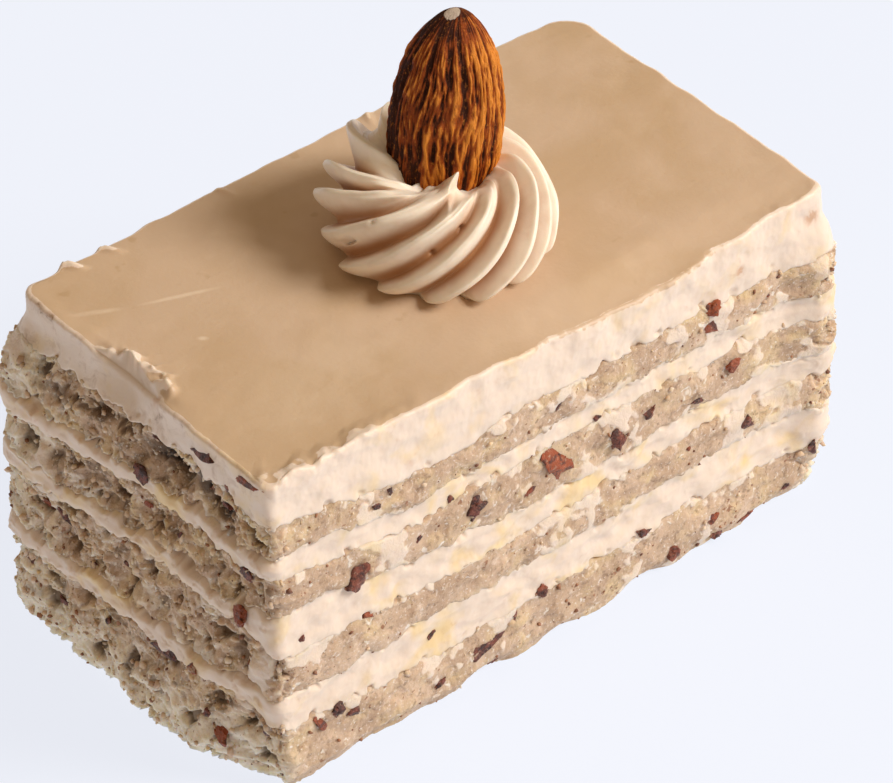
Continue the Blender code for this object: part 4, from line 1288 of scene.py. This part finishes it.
def sponge_material(colours):
    recipe = Recipe("nut_sponge_crumb", 0.66, 0.4)
    torn_side = recipe.attribute("torn")
    moist = recipe.noise(5.0, 4.0, 0.6)
    base = recipe.tint(colours.crumb_shade, moist, 0.40, 0.62, colours.crumb)
    yellow = recipe.noise(4.2, 2.0, 0.6, 0.4)
    yellower = recipe.sum(yellow, recipe.times(torn_side, 0.04))
    base = recipe.tint(base, yellower, 0.48, 0.74, colours.crumb_yellow, 0.75)
    grains = recipe.noise(0.9, 4.0, 0.6)
    base = recipe.tint(base, grains, 0.56, 0.72, colours.crumb_pale, 0.7)
    # Painted shade: tiny pores as dark specks in the hollow shade colour
    base = recipe.tint(base, grains, 0.46, 0.28, colours.hollow_shade, 0.5)
    white = recipe.noise(1.7, 3.0, 0.6, 0.6)
    base = recipe.tint(base, white, 0.62, 0.70, (0.86, 0.79, 0.70), 0.75)
    # Darker brown patches on the torn sides, and lighter ones between them
    crumb_patchiness = recipe.noise(3.4, 4.0, 0.6, 0.6)
    dark_crumb_patches = recipe.times(recipe.fit(crumb_patchiness, 0.53, 0.66), recipe.fit(torn_side, 0.3, 0.9, 0.05, 0.8))
    base = recipe.mix(dark_crumb_patches, base, (0.130, 0.074, 0.036))
    dry = recipe.times(recipe.fit(crumb_patchiness, 0.46, 0.36), recipe.fit(torn_side, 0.3, 0.9, 0.0, 0.6))
    base = recipe.mix(dry, base, (0.92, 0.81, 0.68))
    # Painted light: on the torn sides the crumb is painted paler near the floor and towards the back, for light that
    # shines through the crumb from the floor
    low, at_back = recipe.fit(recipe.axis("Z"), 0.0105, 0.001), recipe.fit(recipe.axis("Y"), 0.011, 0.021, 0.0, 0.8)
    rim = recipe.sum(low, at_back, "MAXIMUM")
    rim = recipe.times(recipe.times(rim, recipe.fit(torn_side, 0.2, 0.7)), recipe.fit(moist, 0.35, 0.6, 0.55, 0.95))
    base = recipe.mix(rim, base, (0.93, 0.83, 0.66))
    sparkle = recipe.noise(0.4, 2.0, 0.6)
    base = recipe.tint(base, sparkle, 0.60, 0.74, (0.90, 0.86, 0.80), 0.6)
    bits = recipe.sum(recipe.noise(0.75, 2.0, 0.5), recipe.times(recipe.noise(4.0, 2.0), 0.35))
    base = recipe.tint(base, bits, 0.865, 0.92, (0.27, 0.10, 0.04), 0.75)
    # Painted shade: the pits, pockets, cracks and hollows go dark, near black where deepest
    hollow_shade = recipe.attribute("hollow_shade")
    base = recipe.tint(base, hollow_shade, 0.25, 0.65, colours.hollow_shade, 0.7)
    base = recipe.tint(base, hollow_shade, 0.60, 1.05, (0.035, 0.018, 0.010), 0.92)
    smear = recipe.sum(recipe.attribute("smear"), recipe.fit(recipe.noise(0.6, 4.0, 0.6), 0.3, 0.7, -0.25, 0.25))
    cream = recipe.tint(colours.filling, yellow, 0.5, 0.75, colours.filling_warm, 0.6)
    base = recipe.tint(base, smear, 0.12, 0.85, cream)
    grainy = recipe.bump(recipe.noise(0.30, 4.0, 0.7), 0.20, 0.8)
    grainy = recipe.bump(recipe.noise(0.9, 3.0, 0.6), 0.10, 0.5, grainy)
    recipe.soften(0.6, (1.0, 0.80, 0.52), 1.4)
    return recipe.finish(base, grainy)


def filling_material(colours):
    recipe = Recipe("coffee_filling_cut", 0.5, 0.4)
    warm = recipe.noise(6.0, 3.0, 0.55, 0.5)
    base = recipe.tint(colours.filling, warm, 0.48, 0.70, colours.filling_warm, 0.85)
    stain = recipe.noise(2.2, 3.0, 0.6)
    base = recipe.tint(base, stain, 0.64, 0.8, colours.stain, 0.4)
    crumbed = recipe.sum(recipe.attribute("smear"), recipe.fit(recipe.noise(0.6, 3.0), 0.3, 0.7, -0.15, 0.15))
    base = recipe.tint(base, crumbed, 0.3, 0.75, colours.crumb, 0.9)
    base = recipe.mix(recipe.times(recipe.attribute("torn"), 0.10), base, colours.crumb)
    # The torn notches of the cut cream take the darker crumb colour
    base = recipe.tint(base, recipe.attribute("hollow_shade"), 0.1, 0.9, colours.crumb_shade, 0.6)
    drag = recipe.noise(1.3, 3.0, 0.55, 0.3, recipe.stretched((0.35, 0.35, 1.0)))
    uneven = recipe.bump(drag, 0.14, 0.5)
    uneven = recipe.bump(recipe.noise(0.4, 3.0), 0.05, 0.5, uneven)
    recipe.soften(0.4, (1.0, 0.78, 0.55), 1.3)
    return recipe.finish(base, uneven)


def icing_material(colours):
    recipe = Recipe("coffee_icing_spread", 0.42, 0.4)
    broad = recipe.noise(17.0, 3.0, 0.5, 0.6)
    top = recipe.tint(colours.icing, broad, 0.40, 0.66, colours.icing_patch, 0.8)
    mottle = recipe.noise(5.0, 4.0, 0.6, 0.4)
    top = recipe.tint(top, mottle, 0.5, 0.8, (0.80, 0.62, 0.45), 0.16)
    spots = recipe.noise(2.6, 2.0, 0.5)
    top = recipe.tint(top, spots, 0.70, 0.78, (0.40, 0.24, 0.10), 0.3)
    for place, turn, length, width, share in TOP_MARKS:
        mark = recipe.times(recipe.patch(place, turn, length, width), recipe.fit(mottle, 0.3, 0.5, 0.4, 1.0))
        top = recipe.mix(recipe.times(mark, share), top, (0.83, 0.67, 0.50))
    warm = recipe.noise(5.0, 3.0, 0.55, 0.5)
    side = recipe.tint(colours.filling, warm, 0.50, 0.76, colours.filling_warm, 0.6)
    stain = recipe.noise(3.0, 3.0, 0.6, 0.3)
    side = recipe.tint(side, stain, 0.64, 0.8, colours.stain, 0.4)
    uneven = recipe.noise(1.2, 3.0, 0.6, 0.6)
    for stain_place in SIDE_STAINS:
        mark = recipe.times(recipe.patch(*stain_place), recipe.fit(uneven, 0.40, 0.6, 0.1, 0.7))
        side = recipe.mix(mark, side, (0.55, 0.27, 0.12))
    on_left = recipe.fit(recipe.axis("X"), -0.0375, -0.0382)
    dirt = recipe.noise(2.0, 4.0, 0.65, 0.5)
    for low, high, most, tone in ((0.48, 0.68, 0.5, colours.crumb_shade), (0.64, 0.74, 0.7, (0.30, 0.17, 0.09))):
        side = recipe.mix(recipe.times(on_left, recipe.fit(dirt, low, high, 0.0, most)), side, tone)
    # The pale value gives the cut side's colour on the sides, on torn and pushed-up cream and in the scoop, and a
    # painted highlight along the rim's lip
    pale_and_lip_highlight = recipe.sum(recipe.attribute("pale_and_lip_highlight"), recipe.fit(recipe.noise(1.1, 3.0), 0.3, 0.7, -0.16, 0.16))
    base = recipe.tint(top, pale_and_lip_highlight, 0.42, 0.62, side)
    ripple = recipe.noise(3.2, 3.0, 0.5, 0.6, recipe.stretched((0.35, 1.0, 1.0), 0.45))
    smooth = recipe.bump(ripple, 0.10, 0.6)
    drag = recipe.noise(1.6, 4.0, 0.6, 0.4, recipe.stretched((0.2, 1.0, 1.0), 0.2))
    smooth = recipe.bump(drag, 0.05, 0.5, smooth)
    smooth = recipe.bump(recipe.noise(0.6, 3.0), 0.06, 0.5, smooth)
    recipe.soften(0.25, (1.0, 0.75, 0.5), 1.2)
    return recipe.finish(base, smooth)


def rosette_material(settings):
    recipe = Recipe("piped_cream_swirl", 0.45, 0.45)
    # Painted shade: the valleys between the ridges turn golden brown; random patches of the same colour go over the
    # whole swirl
    valley_shade = recipe.attribute("valley_shade")
    base = recipe.tint(settings.cream, valley_shade, 0.22, 1.0, settings.valley_shade, 0.88)
    cloud = recipe.noise(3.0, 3.0)
    base = recipe.tint(base, cloud, 0.45, 0.8, settings.valley_shade, 0.22)
    soft = recipe.bump(recipe.noise(0.7, 4.0, 0.55), 0.07, 0.5)
    recipe.soften(0.3, (1.0, 0.75, 0.5), 1.0)
    return recipe.finish(base, soft)


def almond_material(settings):
    recipe = Recipe("almond_skin_dry", 0.5, 0.2)
    # The groove value darkens the skin in its grooves, and carries painted shade on the almond's left side and a
    # painted highlight on its right side
    groove_and_painted_shade = recipe.attribute("groove_and_painted_shade")
    streaks = recipe.noise(0.55, 4.0, 0.7, 0.0, recipe.stretched((1.0, 1.0, 0.3)))
    mixed = recipe.sum(recipe.times(groove_and_painted_shade, 0.8), recipe.times(streaks, 0.55))
    base = recipe.tint(settings.skin_light, mixed, 0.36, 0.66, settings.skin)
    base = recipe.tint(base, mixed, 0.68, 0.98, settings.skin_dark)
    dashes = recipe.noise(0.28, 3.0, 0.65, 0.0, recipe.stretched((1.0, 1.0, 0.45)))
    base = recipe.tint(base, dashes, 0.55, 0.75, settings.skin_light, 0.55)
    base = recipe.tint(base, dashes, 0.45, 0.25, settings.skin_dark, 0.4)
    tip = recipe.attribute("tip")
    base = recipe.tint(base, tip, 0.38, 0.58, settings.skin_dark)
    patchy = recipe.sum(tip, recipe.fit(recipe.noise(0.8, 3.0), 0.35, 0.65, -0.1, 0.08))
    base = recipe.tint(base, patchy, 0.70, 0.82, settings.scar)
    lines = recipe.noise(0.35, 4.0, 0.75, 0.0, recipe.stretched((1.0, 1.0, 0.45)))
    dry = recipe.bump(lines, 0.3, 1.0)
    recipe.soften(0.03, (1.0, 0.4, 0.15), 0.5)
    return recipe.finish(base, dry, recipe.fit(groove_and_painted_shade, 0.2, 0.9, 0.36, 0.62))


def nut_material(settings):
    recipe = Recipe("chopped_nut", 0.4)
    tone = recipe.attribute("tone")
    veins = recipe.noise(0.7, 4.0, 0.7, 0.6)
    base = recipe.tint(settings.skin_dark, veins, 0.40, 0.58, settings.skin)
    base = recipe.tint(base, tone, 0.55, 1.0, settings.skin_red, 0.8)
    base = recipe.tint(base, veins, 0.46, 0.34, settings.skin_dark, 0.7)
    flesh = recipe.sum(recipe.noise(1.4, 3.0, 0.6), recipe.times(tone, 0.10))
    base = recipe.tint(base, flesh, 0.70, 0.76, settings.flesh, 0.8)
    glints = recipe.noise(0.4, 3.0, 0.6)
    base = recipe.tint(base, glints, 0.56, 0.72, settings.flesh, 0.55)
    patch = recipe.noise(1.3, 3.0, 0.6, 0.5)
    base = recipe.tint(base, patch, 0.50, 0.62, settings.skin_dark, 0.75)
    rough = recipe.bump(recipe.noise(0.45, 4.0, 0.65), 0.3, 1.0)
    recipe.soften(0.08, (1.0, 0.4, 0.2), 0.5)
    return recipe.finish(base, rough)


def loose_crumb_material(colours):
    recipe = Recipe("loose_crumb", 0.68)
    patch = recipe.noise(3.0, 2.0)
    base = recipe.tint(colours.crumb_shade, patch, 0.4, 0.6, colours.crumb)
    yellow = recipe.noise(4.2, 2.0, 0.6, 0.4)
    base = recipe.tint(base, yellow, 0.5, 0.7, colours.crumb_yellow, 0.6)
    speck = recipe.node("ShaderNodeSeparateColor", {"Color": recipe.cells(1.1, "Color")}, "Green")
    base = recipe.tint(base, speck, 0.5, 0.95, colours.crumb_pale, 0.8)
    fine = recipe.bump(recipe.noise(0.25, 3.0, 0.6), 0.08, 0.7)
    recipe.soften(0.5, (1.0, 0.8, 0.5), 0.8)
    return recipe.finish(base, fine)


def speck_material():
    recipe = Recipe("nut_speck", 0.5)
    shade = recipe.noise(1.3, 3.0, 0.6)
    base = recipe.tint((0.15, 0.055, 0.026), shade, 0.38, 0.62, (0.36, 0.16, 0.07))
    fine = recipe.bump(recipe.noise(0.2, 3.0, 0.6), 0.06, 0.7)
    recipe.soften(0.15, (1.0, 0.5, 0.3), 0.4)
    return recipe.finish(base, fine)


def floor_material(settings):
    recipe = Recipe("pale_floor", 0.9, 0.1)
    cloud = recipe.noise(400.0, 2.0)
    base = recipe.tint(settings.floor, cloud, 0.3, 0.7, (0.6, 0.6, 0.6), 0.04)
    recipe.shader.inputs["Emission Color"].default_value = (*settings.floor_glow, 1.0)
    recipe.shader.inputs["Emission Strength"].default_value = settings.floor_glow_strength
    return recipe.finish(base)


def dress(piece, material):
    piece.data.materials.clear()
    piece.data.materials.append(material)


class PASTRY_OT_cut_layers(bpy.types.Operator):
    """Models the sponges and the fillings with their cut sides"""

    bl_idname = "pastry.cut_layers"
    bl_label = "Sponges and Fillings"

    def execute(self, context):
        scene = context.scene
        block = Block(scene.pastry_block)
        sponge = sponge_material(scene.pastry_colours)
        filling = filling_material(scene.pastry_colours)
        for number, name in enumerate(LAYERS[:-1]):
            piece = cut_layer(block, scene.pastry_block, number)
            dress(piece, sponge if name.startswith("sponge") else filling)
        return {"FINISHED"}


class PASTRY_OT_spread_icing(bpy.types.Operator):
    """Models the icing with its torn rim and the scoop in its short side"""

    bl_idname = "pastry.spread_icing"
    bl_label = "Icing"

    def execute(self, context):
        scene = context.scene
        piece = spread_icing(Block(scene.pastry_block))
        dress(piece, icing_material(scene.pastry_colours))
        return {"FINISHED"}


class PASTRY_OT_chop_nuts(bpy.types.Operator):
    """Presses chopped nuts into the cut sides"""

    bl_idname = "pastry.chop_nuts"
    bl_label = "Chopped Nuts"

    def execute(self, context):
        scene = context.scene
        walls = [bpy.data.objects[name + "_cut"] for name in LAYERS[:-1]]
        walls.append(bpy.data.objects["icing_spread"])
        context.view_layer.update()
        dress(set_chips(Block(scene.pastry_block), walls), nut_material(scene.pastry_nuts))
        return {"FINISHED"}


class PASTRY_OT_scatter_crumbs(bpy.types.Operator):
    """Lays loose crumbs and specks of nut skin on the torn sides of the sponges"""

    bl_idname = "pastry.scatter_crumbs"
    bl_label = "Loose Crumbs and Specks"

    def execute(self, context):
        scene = context.scene
        block = Block(scene.pastry_block)
        hosts = [bpy.data.objects[name + "_cut"] for name in LAYERS if name.startswith("sponge")]
        for host in hosts:
            mark_bare_crumb(block, host)
        dress(scatter("loose_crumbs", hosts, *LOOSE_CRUMBS), loose_crumb_material(scene.pastry_colours))
        dress(scatter("nut_specks", hosts, *NUT_SPECKS), speck_material())
        return {"FINISHED"}


class PASTRY_OT_pipe_rosette(bpy.types.Operator):
    """Models the piped swirl with its flared petals and torn tip"""

    bl_idname = "pastry.pipe_rosette"
    bl_label = "Rosette"

    def execute(self, context):
        scene = context.scene
        piece = pipe_rosette(Block(scene.pastry_block), scene.pastry_rosette)
        dress(piece, rosette_material(scene.pastry_rosette))
        return {"FINISHED"}


class PASTRY_OT_stand_almond(bpy.types.Operator):
    """Models the wrinkled almond and stands it in the rosette"""

    bl_idname = "pastry.stand_almond"
    bl_label = "Almond"

    def execute(self, context):
        scene = context.scene
        piece = stand_almond(Block(scene.pastry_block), scene.pastry_almond)
        dress(piece, almond_material(scene.pastry_almond))
        return {"FINISHED"}


def add_key_light(power):
    """A broad soft light that falls from the right of the long side."""
    data = bpy.data.lights.new("key", "AREA")
    data.shape = "DISK"
    data.size = KEY_SIZE
    data.energy = power
    data.color = KEY_TINT
    light = bpy.data.objects.new("key", data)
    light.location = KEY_PLACE
    light.rotation_mode = "QUATERNION"
    light.rotation_quaternion = (Vector(KEY_TARGET) - Vector(KEY_PLACE)).to_track_quat("-Z", "Y")
    bpy.context.scene.collection.objects.link(light)


def add_camera():
    """The camera that looks down on the corner between the long and the short cut side."""
    data = bpy.data.cameras.new("camera")
    data.lens = SENSOR_WIDTH * FOCAL_PIXELS / PICTURE_WIDTH
    data.sensor_width = SENSOR_WIDTH
    data.clip_start, data.clip_end = 0.05, 20.0
    camera = bpy.data.objects.new("camera", data)
    bpy.context.scene.collection.objects.link(camera)
    place = Vector((CAMERA_PLACE[0] + BLOCK_PLACE[0], CAMERA_PLACE[1] + BLOCK_PLACE[1], CAMERA_PLACE[2])) * MM
    flat = math.cos(ELEVATION)
    back = Vector((math.sin(AZIMUTH) * flat, -math.cos(AZIMUTH) * flat, math.sin(ELEVATION)))
    level = Vector((math.cos(AZIMUTH), math.sin(AZIMUTH), 0.0))
    upward = back.cross(level)
    right = level * math.cos(ROLL) + upward * math.sin(ROLL)
    above = upward * math.cos(ROLL) - level * math.sin(ROLL)
    camera.matrix_world = Matrix.Translation(place) @ Matrix((right, above, back)).transposed().to_4x4()
    bpy.context.scene.camera = camera


class PASTRY_OT_set_stage(bpy.types.Operator):
    """Lays the pale floor and sets the light and the camera"""

    bl_idname = "pastry.set_stage"
    bl_label = "Floor, Light and Camera"

    def execute(self, context):
        scene = context.scene
        settings = scene.pastry_stage
        deselect_all()
        bpy.ops.mesh.primitive_plane_add(size=FLOOR_SIZE, location=(0.0, 0.0, 0.0))
        floor = context.active_object
        floor.name = floor.data.name = "floor"
        dress(floor, floor_material(settings))
        world = bpy.data.worlds.new("soft_surround")
        world.use_nodes = True
        scene.world = world
        background = world.node_tree.nodes["Background"]
        background.inputs["Color"].default_value = (*settings.sky, 1.0)
        background.inputs["Strength"].default_value = settings.sky_strength
        add_key_light(settings.key_power)
        scene.view_settings.view_transform = "Standard"
        add_camera()
        return {"FINISHED"}


class PASTRY_PT_sidebar(bpy.types.Panel):
    """Sizes, colours and the steps that build the pastry"""

    bl_idname = "PASTRY_PT_sidebar"
    bl_label = "Cream Pastry"
    bl_space_type = "VIEW_3D"
    bl_region_type = "UI"
    bl_category = "Pastry"

    def draw(self, context):
        layout = self.layout
        for group, title, _ in GROUPS:
            box = layout.box()
            settings = getattr(context.scene, group)
            box.label(text=title)
            for name in settings.__annotations__:
                box.prop(settings, name)
        for operator in STEPS:
            layout.operator(operator.bl_idname)


# Every settings group: its name on the scene, its title in the sidebar, and its class
GROUPS = (
    ("pastry_block", "Block", PastryBlockSettings),
    ("pastry_colours", "Cream and crumb", PastryCreamColours),
    ("pastry_rosette", "Rosette", PastryRosetteSettings),
    ("pastry_almond", "Almond", PastryAlmondSettings),
    ("pastry_nuts", "Nuts", PastryNutSettings),
    ("pastry_stage", "Stage", PastryStageSettings),
)
STEPS = (
    PASTRY_OT_cut_layers,
    PASTRY_OT_spread_icing,
    PASTRY_OT_chop_nuts,
    PASTRY_OT_scatter_crumbs,
    PASTRY_OT_pipe_rosette,
    PASTRY_OT_stand_almond,
    PASTRY_OT_set_stage,
)


def register():
    for name, _, group in GROUPS:
        bpy.utils.register_class(group)
        setattr(bpy.types.Scene, name, PointerProperty(type=group))
    for operator in STEPS:
        bpy.utils.register_class(operator)
    bpy.utils.register_class(PASTRY_PT_sidebar)


def unregister():
    bpy.utils.unregister_class(PASTRY_PT_sidebar)
    for operator in reversed(STEPS):
        bpy.utils.unregister_class(operator)
    for name, _, group in reversed(GROUPS):
        delattr(bpy.types.Scene, name)
        bpy.utils.unregister_class(group)


def main():
    noise.seed_set(CRUMB_SEED)
    register()
    bpy.ops.pastry.cut_layers()
    bpy.ops.pastry.spread_icing()
    bpy.ops.pastry.chop_nuts()
    bpy.ops.pastry.scatter_crumbs()
    bpy.ops.pastry.pipe_rosette()
    bpy.ops.pastry.stand_almond()
    bpy.ops.pastry.set_stage()


if __name__ == "__main__":
    main()
